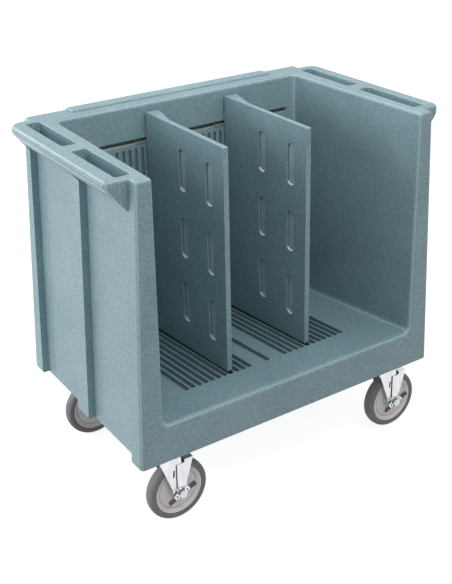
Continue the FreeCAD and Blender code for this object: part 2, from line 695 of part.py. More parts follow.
def make_hook(side, divider, middle_x, back):
    """Bent hook plate that drops over the rail, screwed to the divider's back edge."""
    seat = "(rim_height - slot_below_rim - slot_height + rail_height + hook_seat_gap)"
    lip = f"({BACK_WALL} + rail_set_in + rail_width + hook_lip_gap)"
    outer = f"({back} + hook_gauge)"
    flange = [(back, f"{seat} - hook_height / 2"), (outer, f"{seat} - hook_height / 2"),
              (outer, f"{seat} + hook_height / 2"), (back, f"{seat} + hook_height / 2")]
    lip_back = f"({lip} + hook_gauge)"
    tongue = [(back, seat), (lip, seat), (lip, f"{seat} - hook_lip"), (lip_back, f"{seat} - hook_lip"),
              (lip_back, f"{seat} + hook_gauge"), (back, f"{seat} + hook_gauge")]
    hook = new_body(f"{side}_divider_hook")
    place(hook, x=middle_x)
    pad(hook, sketch(hook, "YZ_Plane", [flange]), "divider_thickness", both=True)
    pad(hook, sketch(hook, "YZ_Plane", [tongue]), "hook_width", both=True)
    screws = [f"{seat} + {a} * hook_screw_step / 2" for a in (-1, 1)]
    holes = [("0", z, "hook_screw_shank / 2 + running_gap") for z in screws]
    pocket(hook, sketch(hook, "XZ_Plane", circles=holes, level=f"-{back} - hook_gauge - overrun"),
           "hook_gauge + 2 * overrun", back=True)
    pocket(divider, sketch(divider, "XZ_Plane", circles=holes, level=f"-{back}"), "hook_screw_length",
           back=True)
    head = "hook_screw_head / 2"
    group = doc.addObject("Part::Compound", f"{side}_hook_screws")
    group.Links = [screw_along_y(middle_x, f"{back} + hook_gauge", z, head) for z in screws]
    node(group, f"{side}_hook_screws")


def screw_along_y(x, y, z, head):
    """Pan-head screw whose head sits at y and whose shank runs towards -Y."""
    cap = bind(doc.addObject("Part::Cylinder", "ScrewHead"), Radius=head, Height="hook_screw_head_height")
    shank = bind(doc.addObject("Part::Cylinder", "ScrewShank"), Radius="hook_screw_shank / 2",
                 Height="hook_screw_length")
    cap.Placement = FreeCAD.Placement(FreeCAD.Vector(), FreeCAD.Rotation(X_AXIS, -90))
    shank.Placement = FreeCAD.Placement(FreeCAD.Vector(), FreeCAD.Rotation(X_AXIS, 90))
    place(cap, x, y, z)
    place(shank, x, y, z)
    screw = doc.addObject("Part::Fuse", "Screw")
    screw.Base = cap
    screw.Tool = shank
    return screw


def make_rail():
    """Flat steel rail on the floor of the slot, and the screws that hold it."""
    low = "(rim_height - slot_below_rim - slot_height)"
    y = f"({BACK_WALL} + rail_set_in)"
    body = new_body("divider_rail")
    primitive(body, "AdditiveBox", x="-slot_length / 2", y=y, z=low,
              Length="slot_length", Width="rail_width", Height="rail_height")
    spots = [(f"{step} * rail_screw_spread", f"{y} + rail_width / 2") for step in ("-1", "0", "1")]
    bores = [(a, b, "rail_screw_shank / 2 + running_gap") for a, b in spots]
    pocket(body, sketch(body, "XY_Plane", circles=bores, level=f"{low} + rail_height"), "rail_height")
    group = doc.addObject("Part::Compound", "rail_screws")
    shanks = []
    for x, y_spot in spots:
        shank = bind(doc.addObject("Part::Cylinder", "RailScrew"), Radius="rail_screw_shank / 2",
                     Height="rail_screw_length")
        shanks.append(place(shank, x, y_spot, f"{low} + rail_height - rail_screw_length"))
    group.Links = shanks
    node(group, "rail_screws")


def make_fasteners():
    """Threaded inserts, bolts and washers of all four casters, one group each."""
    inserts, bolts, washers = [], [], []
    under_plate = "(caster_height - plate_gauge)"
    for corner in CASTERS:
        for x, y in bolt_spots(corner):
            inserts.append(ring(x, y, "caster_height", "insert_diameter / 2",
                                "bolt_diameter / 2 + running_gap", "insert_length"))
            washers.append(ring(x, y, f"{under_plate} - washer_gauge", "washer_diameter / 2",
                                "bolt_diameter / 2 + bolt_hole_gap", "washer_gauge"))
            bolts.append(hex_bolt(x, y, f"{under_plate} - washer_gauge", "bolt_diameter / 2",
                                  "bolt_reach + plate_gauge + washer_gauge"))
    for label, pieces in (("caster_inserts", inserts), ("caster_bolts", bolts), ("caster_washers", washers)):
        group = doc.addObject("Part::Compound", label)
        group.Links = pieces
        node(group, label)


def ring(x, y, z, outer, inner, height):
    """Upright tube."""
    shell = bind(doc.addObject("Part::Cylinder", "RingOuter"), Radius=outer, Height=height)
    bore = bind(doc.addObject("Part::Cylinder", "RingBore"), Radius=inner, Height=height)
    tube = doc.addObject("Part::Cut", "Ring")
    tube.Base = place(shell, x, y, z)
    tube.Tool = place(bore, x, y, z)
    return tube


def hex_bolt(x, y, seat, radius, length):
    """Upright bolt with its hexagon head below the seat."""
    head = bind(doc.addObject("Part::Prism", "BoltHead"), Circumradius="bolt_head_across / sqrt(3)",
                Height="bolt_head_height")
    head.Polygon = 6
    shank = bind(doc.addObject("Part::Cylinder", "BoltShank"), Radius=radius, Height=length)
    bolt = doc.addObject("Part::Fuse", "Bolt")
    bolt.Base = place(head, x, y, f"{seat} - bolt_head_height")
    bolt.Tool = place(shank, x, y, seat)
    return bolt


CROWN_LOW = "(wheel_diameter + crown_clear)"
CROWN_TOP = "(wheel_diameter + crown_clear + fork_gauge)"
AXLE_HEIGHT = "(wheel_diameter / 2)"
FORK_HALF = "(fork_gap / 2 + fork_gauge)"


def make_plate(corner, x, y):
    """Caster top plate with its race hub, and the kingpin that holds the fork."""
    body = new_body(f"{corner}_caster_plate")
    place(body, x, y)
    outline = [(f"{a} * plate_length / 2", f"{b} * plate_breadth / 2")
               for a, b in ((-1, -1), (1, -1), (1, 1), (-1, 1))]
    under = "(caster_height - plate_gauge)"
    pad(body, sketch(body, "XY_Plane", [outline], level=under), "plate_gauge")
    soften(body, "plate_corner", lambda e: runs_along(e, Z_AXIS))
    hub_low = f"({CROWN_TOP} + face_gap)"
    pad(body, sketch(body, "XY_Plane", circles=[("0", "0", "race_hub")], level=hub_low),
        f"{under} - {hub_low} + overrun")
    hole = "bolt_diameter / 2 + bolt_hole_gap"
    bolts = [(f"{a} * bolt_pattern_length / 2", f"{b} * bolt_pattern_breadth / 2", hole)
             for a in (-1, 1) for b in (-1, 1)]
    bore = [("0", "0", "kingpin_diameter / 2 + running_gap")]
    pocket(body, sketch(body, "XY_Plane", circles=bolts + bore, level="caster_height"),
           f"caster_height - {hub_low} + overrun")
    pin = new_body(f"{corner}_kingpin")
    place(pin, x, y)
    head_top = f"({CROWN_LOW} - face_gap)"
    head = [("0", "0", "kingpin_head / 2")]
    pad(pin, sketch(pin, "XY_Plane", circles=head, level=f"{head_top} - kingpin_head_height"),
        "kingpin_head_height")
    shank = [("0", "0", "kingpin_diameter / 2")]
    pad(pin, sketch(pin, "XY_Plane", circles=shank, level=head_top), f"caster_height - {head_top}")


def make_balls():
    """Balls of all swivel races, between each plate's hub and its fork's cup."""
    ball = "((race_inner - race_hub) / 2 - ball_gap)"
    pitch = "((race_inner + race_hub) / 2)"
    count = int(number("ball_count"))
    balls = []
    for x, y in map(caster_spot, CASTERS):
        for i in range(count):
            turn = 360 * i / count
            piece = bind(doc.addObject("Part::Sphere", "Ball"), Radius=ball)
            balls.append(place(piece, f"{x} + {pitch} * cos({turn})", f"{y} + {pitch} * sin({turn})",
                               f"{CROWN_TOP} + {ball} + ball_gap"))
    group = doc.addObject("Part::Compound", "swivel_balls")
    group.Links = balls
    node(group, "swivel_balls")


def make_fork(corner, x, y):
    """Pressed fork: crown with its race cup, and two legs that slant back to the axle."""
    body = new_body(f"{corner}_fork")
    place(body, x, y)
    rear = "caster_trail - leg_end"
    fore = "caster_trail + leg_fore"
    leg = [("-crown_half", CROWN_TOP), ("-crown_half", CROWN_LOW), ("-leg_root", CROWN_LOW),
           (rear, f"{AXLE_HEIGHT} + leg_drop"), (rear, f"{AXLE_HEIGHT} - leg_drop"),
           (fore, f"{AXLE_HEIGHT} - leg_drop"), (fore, f"{AXLE_HEIGHT} + leg_drop"),
           ("crown_half", CROWN_LOW), ("crown_half", CROWN_TOP)]
    pad(body, sketch(body, "XZ_Plane", [leg]), f"2 * {FORK_HALF}", both=True)
    low = number(f"{AXLE_HEIGHT} - leg_drop")
    soften(body, "leg_radius", lambda e: runs_along(e, Y_AXIS) and abs(middle(e).z - low) < 0.01)
    beyond = "(crown_half + caster_trail)"
    below = f"{AXLE_HEIGHT} - leg_drop - overrun"
    gap = [(f"-{beyond}", below), (beyond, below), (beyond, CROWN_LOW), (f"-{beyond}", CROWN_LOW)]
    pocket(body, sketch(body, "XZ_Plane", [gap]), "fork_gap", both=True)
    crown = number(CROWN_TOP)
    soften(body, "fork_bend", lambda e: runs_along(e, X_AXIS) and abs(middle(e).z - crown) < 0.01)
    cup = [("0", "0", "race_outer")]
    pad(body, sketch(body, "XY_Plane", circles=cup, level=f"{CROWN_TOP} - overrun"), "race_height + overrun")
    race = [("0", "0", "race_inner")]
    pocket(body, sketch(body, "XY_Plane", circles=race, level=f"{CROWN_TOP} + race_height"), "race_height")
    pin = [("0", "0", "kingpin_diameter / 2 + running_gap")]
    pocket(body, sketch(body, "XY_Plane", circles=pin, level=CROWN_TOP), "fork_gauge + overrun")
    axle = [("caster_trail", AXLE_HEIGHT, "axle_diameter / 2 + running_gap")]
    pocket(body, sketch(body, "XZ_Plane", circles=axle), f"2 * ({FORK_HALF} + overrun)", both=True)


def make_axle(corner, x, y):
    """Axle bolt through the fork, and its nut. On a braked caster it also carries the arm and the lever."""
    front = f"({FORK_HALF}{' + arm_gauge + lever_gauge + 2 * face_gap' if is_braked(corner) else ''})"
    axle = f"{x} + caster_trail"
    bolt = doc.addObject("Part::Fuse", f"{corner}_axle")
    shank = bind(doc.addObject("Part::Cylinder", "AxleShank"), Radius="axle_diameter / 2",
                 Height=f"{front} + {FORK_HALF} + axle_head_height")
    head = bind(doc.addObject("Part::Prism", "AxleHead"), Circumradius="axle_head_across / sqrt(3)",
                Height="axle_head_height")
    head.Polygon = 6
    for piece, depth in ((shank, f"{y} - {front}"), (head, f"{y} - {front} - axle_head_height")):
        piece.Placement = FreeCAD.Placement(FreeCAD.Vector(), FreeCAD.Rotation(X_AXIS, -90))
        place(piece, axle, depth, AXLE_HEIGHT)
    bolt.Base = shank
    bolt.Tool = head
    node(bolt, f"{corner}_axle")
    block = bind(doc.addObject("Part::Prism", "NutBlock"), Circumradius="axle_head_across / sqrt(3)",
                 Height="axle_head_height")
    block.Polygon = 6
    bore = bind(doc.addObject("Part::Cylinder", "NutBore"), Radius="axle_diameter / 2 + running_gap",
                Height="axle_head_height")
    for piece in (block, bore):
        piece.Placement = FreeCAD.Placement(FreeCAD.Vector(), FreeCAD.Rotation(X_AXIS, -90))
        place(piece, axle, f"{y} + {FORK_HALF}", AXLE_HEIGHT)
    nut = doc.addObject("Part::Cut", f"{corner}_axle_nut")
    nut.Base = block
    nut.Tool = bore
    node(nut, f"{corner}_axle_nut")


def mirrored(half):
    """Closes half an outline with its mirror image across the sketch's horizontal axis."""
    return half + [(a, f"-({b})") for a, b in reversed(half)]


def make_wheel(corner, x, y):
    """Wheel centre, tyre and axle bush, turned about the axle."""
    spot = (f"{x} + caster_trail", y, AXLE_HEIGHT)
    core = new_body(f"{corner}_wheel")
    place(core, *spot)
    rim = "tyre_inner / 2"
    half = [(rim, "core_width / 2"), ("tyre_inner / 2 - rim_lip", "core_width / 2"),
            ("tyre_inner / 2 - 2 * rim_lip", "core_width / 2 - core_dish"),
            ("hub_diameter / 2 + core_dish", "core_width / 2 - core_dish"),
            ("hub_diameter / 2", "hub_width / 2"), ("bush_diameter / 2 + running_gap", "hub_width / 2")]
    revolve(core, sketch(core, "XY_Plane", [mirrored(half)]))
    tyre = new_body(f"{corner}_tyre")
    place(tyre, *spot)
    outer = "wheel_diameter / 2"
    cut = "tyre_soft * (1 - cos(45))"
    band = [(rim, "core_width / 2"), (f"{outer} - tyre_soft", "tyre_width / 2"),
            (f"{outer} - {cut}", f"tyre_width / 2 - {cut}"), (outer, "tyre_width / 2 - tyre_soft")]
    revolve(tyre, sketch(tyre, "XY_Plane", [mirrored(band)]))
    bush = new_body(f"{corner}_axle_bush")
    place(bush, *spot)
    bore = "axle_diameter / 2 + running_gap"
    end = "(fork_gap / 2 - face_gap)"
    wall = [(bore, f"-{end}"), ("bush_diameter / 2", f"-{end}"), ("bush_diameter / 2", end), (bore, end)]
    revolve(bush, sketch(bush, "XY_Plane", [wall]))


def is_braked(corner):
    return CASTERS[corner][1] < 0


def make_brake(corner, x, y):
    """Brake of a front caster: arm with the shoe's flange, shoe on its stem, rocker lever and pads."""
    axle = f"({x} + caster_trail)"
    arm_back = FORK_HALF
    arm = new_body(f"{corner}_brake_arm")
    place(arm, axle, y, AXLE_HEIGHT)
    plate = [("-arm_end", "-arm_end"), ("arm_end", "-arm_end"), ("arm_waist", "arm_waist_rise"),
             ("arm_lean", "arm_rise"), ("flange_start", "arm_rise"), ("flange_start", "arm_step"),
             ("-arm_edge", "arm_shoulder"), ("-arm_edge", "arm_end"), ("-arm_end", "arm_end")]
    pad(arm, sketch(arm, "XZ_Plane", [plate], level=arm_back), "arm_gauge")
    pocket(arm, sketch(arm, "XZ_Plane", circles=[("0", "0", "axle_diameter / 2 + running_gap")],
                       level=f"{arm_back} + arm_gauge"), "arm_gauge")
    flange = [("flange_start", "arm_rise - flange_gauge"), ("arm_lean", "arm_rise - flange_gauge"),
              ("arm_lean", "arm_rise"), ("flange_start", "arm_rise")]
    pad(arm, sketch(arm, "XZ_Plane", [flange], level=f"{arm_back} + arm_gauge"),
        "flange_depth + arm_gauge", back=True)
    shoe_x = "((flange_start + arm_lean) / 2)"
    guide = [(shoe_x, "0", "stem_diameter / 2 + running_gap")]
    pocket(arm, sketch(arm, "XY_Plane", circles=guide, level="arm_rise"), "flange_gauge")
    shoe = new_body(f"{corner}_brake_shoe")
    place(shoe, axle, y, AXLE_HEIGHT)
    top = "(arm_rise - flange_gauge - shoe_head_gap)"
    block = [(f"{shoe_x} - shoe_length / 2", "arm_rise / 2"), (f"{shoe_x} + shoe_length / 2", "arm_rise / 2"),
             (f"{shoe_x} + shoe_length / 2", top), (f"{shoe_x} - shoe_length / 2", top)]
    pad(shoe, sketch(shoe, "XZ_Plane", [block]), "shoe_breadth", both=True)
    pad(shoe, sketch(shoe, "XY_Plane", circles=[(shoe_x, "0", "stem_diameter / 2")], level=top),
        "shoe_head_gap + flange_gauge + stem_rise")
    tread = [("0", "0", "wheel_diameter / 2 + shoe_gap")]
    pocket(shoe, sketch(shoe, "XZ_Plane", circles=tread), "shoe_breadth + 2 * overrun", both=True)
    make_lever(corner, axle, y)


def make_lever(corner, axle, y):
    """Rocker lever on the axle bolt, tilted at rest, with a ribbed rubber pad at each end."""
    lever = new_body(f"{corner}_brake_lever")
    turn = FreeCAD.Rotation(Y_AXIS, -number("lever_tilt"))
    lever.Placement = FreeCAD.Placement(FreeCAD.Vector(), turn)
    place(lever, axle, y, AXLE_HEIGHT)
    near = f"({FORK_HALF} + arm_gauge + face_gap)"
    bar = [("-lever_short", "-lever_width / 2"), ("lever_long", "-lever_width / 2"),
           ("lever_long", "lever_width / 2"), ("-lever_short", "lever_width / 2")]
    pad(lever, sketch(lever, "XZ_Plane", [bar], level=near), "lever_gauge")
    soften(lever, "lever_corner", lambda e: runs_along(e, Y_AXIS))
    pocket(lever, sketch(lever, "XZ_Plane", circles=[("0", "0", "axle_diameter / 2 + running_gap")],
                         level=f"{near} + lever_gauge"), "lever_gauge")
    pads = []
    for label, start in (("raised", "lever_long - pedal_length"), ("lowered", "-lever_short")):
        block = bind(doc.addObject("Part::Box", f"{label}_pad"), Length="pedal_length", Width="pedal_depth",
                     Height="pedal_height")
        place(block, start, f"-{near} - lever_gauge - pedal_depth", "-pedal_height / 2")
        pads.append(block)
    group = doc.addObject("Part::Compound", f"{corner}_brake_pads")
    group.Links = pads
    group.Placement = FreeCAD.Placement(FreeCAD.Vector(), turn)
    place(group, axle, y, AXLE_HEIGHT)
    node(group, f"{corner}_brake_pads")


make_cart_body()
make_rail()
make_divider("left", "left_divider_groove")
make_divider("right", "right_divider_groove")
make_fasteners()
make_balls()
for corner in CASTERS:
    spot_x, spot_y = caster_spot(corner)
    make_plate(corner, spot_x, spot_y)
    make_fork(corner, spot_x, spot_y)
    make_axle(corner, spot_x, spot_y)
    make_wheel(corner, spot_x, spot_y)
    if is_braked(corner):
        make_brake(corner, spot_x, spot_y)
doc.recompute()

for item in doc.Objects:
    if "Invalid" in item.State or "Error" in item.State:
        raise RuntimeError(f"{item.Label} failed: {item.State}")
for item in nodes:
    if item.Shape.isNull() or not item.Shape.isValid():
        raise RuntimeError(f"{item.Label} has no valid shape")
    if not item.Shape.Solids:
        raise RuntimeError(f"{item.Label} holds no solid")

os.makedirs("parts", exist_ok=True)
for item in nodes:
    item.Shape.exportStep(f"parts/{item.Label}.step")
    print(item.Label, len(item.Shape.Solids), round(item.Shape.Volume / 1000, 1), "cm3")
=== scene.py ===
import logging
import math
from dataclasses import dataclass, field, replace
from enum import Enum
from typing import Sequence

import bmesh
import bpy
from mathutils import Matrix, Vector


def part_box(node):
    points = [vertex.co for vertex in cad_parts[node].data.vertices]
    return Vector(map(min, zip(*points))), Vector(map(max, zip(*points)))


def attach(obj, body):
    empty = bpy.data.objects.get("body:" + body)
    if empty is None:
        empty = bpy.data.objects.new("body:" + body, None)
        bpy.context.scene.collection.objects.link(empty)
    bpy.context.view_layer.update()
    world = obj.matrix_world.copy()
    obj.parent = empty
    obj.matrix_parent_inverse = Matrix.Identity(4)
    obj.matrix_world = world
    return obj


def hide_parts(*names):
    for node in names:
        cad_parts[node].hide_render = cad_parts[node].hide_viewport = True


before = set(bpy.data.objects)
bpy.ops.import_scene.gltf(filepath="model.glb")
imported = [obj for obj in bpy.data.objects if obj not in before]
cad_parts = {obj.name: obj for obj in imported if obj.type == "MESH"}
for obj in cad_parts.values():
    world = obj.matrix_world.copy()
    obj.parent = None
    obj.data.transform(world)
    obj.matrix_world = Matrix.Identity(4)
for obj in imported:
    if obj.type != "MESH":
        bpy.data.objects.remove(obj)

logging.basicConfig(level=logging.INFO, format="%(message)s")
log = logging.getLogger("dish_cart")

Colour = tuple[float, float, float]
Point = tuple[float, float, float]
Span = tuple[float, float]
Outline = Sequence[tuple[float, float]]
Socket = bpy.types.NodeSocket
Outputs = bpy.types.bpy_prop_collection
Value = bpy.types.NodeSocket | float

WHITE = (1.0, 1.0, 1.0, 1.0)

# Colour sockets of the Mix node
MIX_FIRST, MIX_SECOND, MIX_RESULT = 6, 7, 2

# Noise of the grain, and the share of its broad clouding
NOISE_DETAIL = 2.0
NOISE_ROUGHNESS = 0.65
NOISE_MIDDLE = 0.5
NOISE_HEIGHTS = (0.3, 0.7)
CLOUD_SHARE = 0.8

# Stretch of a brushed grain, and turn of a speckle out of the planes of the faces
BRUSH_STRETCH = (1.0, 1.0, 0.12)
SPECKLE_TURN = (0.5, 0.35, 0.2)

# Directions across an axle along Y, and the length that a turn of one radian counts for
ACROSS_AXLE = (1.0, 0.0, 1.0)
TURN_LENGTH = 0.006

# Largest part of a normal on a round, and its upward part, over which the painted highlight on edges comes in
EDGE_ROUND = (0.86, 0.74)
EDGE_UPWARD = (-0.35, -0.1)

# Mesh limits: merging, smooth shading, and the slant below which an edge lies in a plate's face
MERGE_DISTANCE = 1e-6
SMOOTH_ANGLE = math.radians(38.0)
FACE_SLANT = 0.5

# Web of the wheel disc: distances inside the rim and behind the face
DISC_WEB = ((0.0008, 0.0), (0.0022, 0.0), (0.0034, 0.0016), (0.0100, 0.0046), (0.0108, 0.0056),
            (0.0126, 0.0058), (0.0134, 0.0050), (0.0260, 0.0064))

# Foot of its hub: radii and distances behind the face
DISC_FOOT = ((0.0225, 0.0066), (0.0195, 0.0030))

# End of its hub: radii and distances behind the hub's end
DISC_HUB = ((0.0180, 0.0012), (0.0168, 0.0))

# Painted shade marks on the brake's cam: place along and across the lever, length and height
CAM_SHADE_MARKS = ((-0.0150, 0.0, 0.0030, 0.0080), (0.0150, 0.0, 0.0026, 0.0066), (0.0012, 0.0048, 0.0090, 0.0036))

# Painted shadow arcs along the cam's edge: first and last turn in degrees, width
CAM_SHADOW_ARCS = ((35, 155, 0.0026), (215, 265, 0.0034))


class Corner(Enum):
    """The four casters."""

    FRONT_LEFT = "front_left"
    FRONT_RIGHT = "front_right"
    BACK_LEFT = "back_left"
    BACK_RIGHT = "back_right"

    @property
    def braked(self) -> bool:
        """Whether this caster has a foot brake."""
        return self in (Corner.FRONT_LEFT, Corner.FRONT_RIGHT)


class Side(Enum):
    """The two dividers and the two handles."""

    LEFT = "left"
    RIGHT = "right"

    @property
    def sign(self) -> float:
        """Direction of this side along X."""
        return -1.0 if self is Side.LEFT else 1.0


class Pattern(Enum):
    """How the grain of a finish runs."""

    SPECKLE = "speckle"
    BRUSHED = "brushed"
    TURNED = "turned"


class NodeGroup:
    """Small wrapper that adds and links shader nodes in one tree."""

    def __init__(self, tree: bpy.types.NodeTree) -> None:
        """Takes the tree to fill.

        Args:
            tree: Node tree of a material, a world or a group.
        """
        self.tree = tree

    @classmethod
    def effect(cls, name: str, inputs: dict[str, str], outputs: dict[str, str]) -> "NodeGroup":
        """Starts a shared effect.

        Args:
            name: Name of the effect.
            inputs: Socket types of its inputs by name.
            outputs: Socket types of its outputs by name.

        Returns:
            The wrapped tree.
        """
        tree = bpy.data.node_groups.new(name, "ShaderNodeTree")
        for label, kind in inputs.items():
            tree.interface.new_socket(label, in_out="INPUT", socket_type=kind)
        for label, kind in outputs.items():
            tree.interface.new_socket(label, in_out="OUTPUT", socket_type=kind)
        return cls(tree)

    def add(self, kind: str, **settings: object) -> bpy.types.Node:
        """Adds a node and sets its properties.

        Args:
            kind: Blender's type name of the node.
            settings: Properties of the node.

        Returns:
            The new node.
        """
        node = self.tree.nodes.new(kind)
        for name, value in settings.items():
            setattr(node, name, value)
        return node

    def link(self, source: Socket, target: Socket) -> None:
        """Joins an output to an input.

        Args:
            source: Output socket.
            target: Input socket.
        """
        self.tree.links.new(source, target)

    def feed(self, value: Value, socket: Socket) -> None:
        """Links a socket to an input, or sets a number on it.

        Args:
            value: Socket or number.
            socket: Input to fill.
        """
        if isinstance(value, Socket):
            self.link(value, socket)
        else:
            socket.default_value = value

    def maths(self, operation: str, first: Value, second: Value = 0.0) -> Socket:
        """Adds a sum on one or two values.

        Args:
            operation: Blender's name of the operation.
            first: Socket or number.
            second: Socket or number.

        Returns:
            The result's socket.
        """
        node = self.add("ShaderNodeMath", operation=operation)
        for socket, value in zip(node.inputs, (first, second)):
            self.feed(value, socket)
        return node.outputs["Value"]

    def product(self, first: Socket, *others: Value) -> Socket:
        """Multiplies values.

        Args:
            first: Socket to start from.
            others: Sockets or numbers to multiply it by.

        Returns:
            The result's socket.
        """
        for other in others:
            first = self.maths("MULTIPLY", first, other)
        return first

    def split(self, vector: Socket) -> Outputs:
        """Splits a vector.

        Args:
            vector: Socket to split.

        Returns:
            The outputs X, Y and Z.
        """
        node = self.add("ShaderNodeSeparateXYZ")
        self.link(vector, node.inputs["Vector"])
        return node.outputs

    def ramp(self, value: Socket, low: float, high: float, start: float = 0.0, end: float = 1.0) -> Socket:
        """Maps a range of a value to another one, with a smooth passage.

        Args:
            value: Socket to map.
            low: Value that maps to start.
            high: Value that maps to end.
            start: Result at low and before it.
            end: Result at high and beyond it.

        Returns:
            The result's socket.
        """
        node = self.add("ShaderNodeMapRange", interpolation_type="SMOOTHSTEP")
        self.link(value, node.inputs["Value"])
        for name, number in (("From Min", low), ("From Max", high), ("To Min", start), ("To Max", end)):
            node.inputs[name].default_value = number
        return node.outputs["Result"]

    def blend(self, share: Value, first: Socket, second: Socket | Colour) -> Socket:
        """Mixes two colours.

        Args:
            share: Share of the second colour.
            first: The first colour.
            second: The second colour.

        Returns:
            The mixed colour.
        """
        node = self.add("ShaderNodeMix", data_type="RGBA")
        self.feed(share, node.inputs["Factor"])
        self.link(first, node.inputs[MIX_FIRST])
        if isinstance(second, Socket):
            self.link(second, node.inputs[MIX_SECOND])
        else:
            node.inputs[MIX_SECOND].default_value = (*second, 1.0)
        return node.outputs[MIX_RESULT]


def grain_effect() -> bpy.types.NodeTree:
    """Makes or finds the shared effect of fine grain with broad clouding.

    Returns:
        A node group from a place, two colours and sizes to a colour and a height.
    """
    found = bpy.data.node_groups.get("grain")
    if found:
        return found
    group = NodeGroup.effect(
        "grain",
        {"Place": "NodeSocketVector", "Light": "NodeSocketColor", "Dark": "NodeSocketColor",
         "Fine": "NodeSocketFloat", "Broad": "NodeSocketFloat", "Contrast": "NodeSocketFloat"},
        {"Colour": "NodeSocketColor", "Height": "NodeSocketFloat"})
    start = group.add("NodeGroupInput").outputs
    end = group.add("NodeGroupOutput").inputs
    fine = group.add("ShaderNodeTexNoise")
    fine.inputs["Roughness"].default_value = NOISE_ROUGHNESS
    broad = group.add("ShaderNodeTexNoise")
    for noise, size in ((fine, "Fine"), (broad, "Broad")):
        noise.inputs["Detail"].default_value = NOISE_DETAIL
        group.link(start["Place"], noise.inputs["Vector"])
        group.link(start[size], noise.inputs["Scale"])
    sharp = group.product(group.maths("SUBTRACT", fine.outputs["Fac"], NOISE_MIDDLE), start["Contrast"])
    cloud = group.product(group.maths("SUBTRACT", broad.outputs["Fac"], NOISE_MIDDLE), CLOUD_SHARE)
    share = group.maths("ADD", group.maths("ADD", sharp, cloud), NOISE_MIDDLE)
    kept = group.maths("MINIMUM", group.maths("MAXIMUM", share, 0.0), 1.0)
    group.link(group.blend(kept, start["Light"], start["Dark"]), end["Colour"])
    group.link(fine.outputs["Fac"], end["Height"])
    return group.tree


def radius_effect() -> bpy.types.NodeTree:
    """Makes or finds the shared effect that measures from an axle along Y.

    Returns:
        A node group from a place and an axle's place to the distance from the axle and the place turned flat.
    """
    found = bpy.data.node_groups.get("radius")
    if found:
        return found
    group = NodeGroup.effect("radius", {"Place": "NodeSocketVector", "Axle": "NodeSocketVector"},
                             {"Radius": "NodeSocketFloat", "Round": "NodeSocketVector"})
    start = group.add("NodeGroupInput").outputs
    end = group.add("NodeGroupOutput").inputs
    offset = group.add("ShaderNodeVectorMath", operation="SUBTRACT")
    group.link(start["Place"], offset.inputs[0])
    group.link(start["Axle"], offset.inputs[1])
    flat = group.add("ShaderNodeVectorMath", operation="MULTIPLY")
    group.link(offset.outputs["Vector"], flat.inputs[0])
    flat.inputs[1].default_value = ACROSS_AXLE
    length = group.add("ShaderNodeVectorMath", operation="LENGTH")
    group.link(flat.outputs["Vector"], length.inputs[0])
    parts = group.split(offset.outputs["Vector"])
    turn = group.product(group.maths("ARCTAN2", parts["Z"], parts["X"]), TURN_LENGTH)
    joined = group.add("ShaderNodeCombineXYZ")
    for axis, source in (("X", length.outputs["Value"]), ("Y", turn), ("Z", parts["Y"])):
        group.link(source, joined.inputs[axis])
    group.link(length.outputs["Value"], end["Radius"])
    group.link(joined.outputs["Vector"], end["Round"])
    return group.tree


def edge_effect() -> bpy.types.NodeTree:
    """Makes or finds the shared effect of a painted highlight along rounded edges.

    Returns:
        A node group from a surface's normal to a mask of the rounds between faces, which look to no single
        side. It leaves out those that look down.
    """
    found = bpy.data.node_groups.get("edge_highlight_mask")
    if found:
        return found
    group = NodeGroup.effect("edge_highlight_mask", {"Normal": "NodeSocketVector"}, {"Edge": "NodeSocketFloat"})
    start = group.add("NodeGroupInput").outputs
    end = group.add("NodeGroupOutput").inputs
    normal = group.split(start["Normal"])
    sides = [group.maths("ABSOLUTE", normal[axis]) for axis in "XYZ"]
    straight = group.maths("MAXIMUM", group.maths("MAXIMUM", sides[0], sides[1]), sides[2])
    rounded = group.ramp(straight, *EDGE_ROUND)
    upward = group.ramp(normal["Z"], *EDGE_UPWARD)
    group.link(group.product(rounded, upward), end["Edge"])
    return group.tree


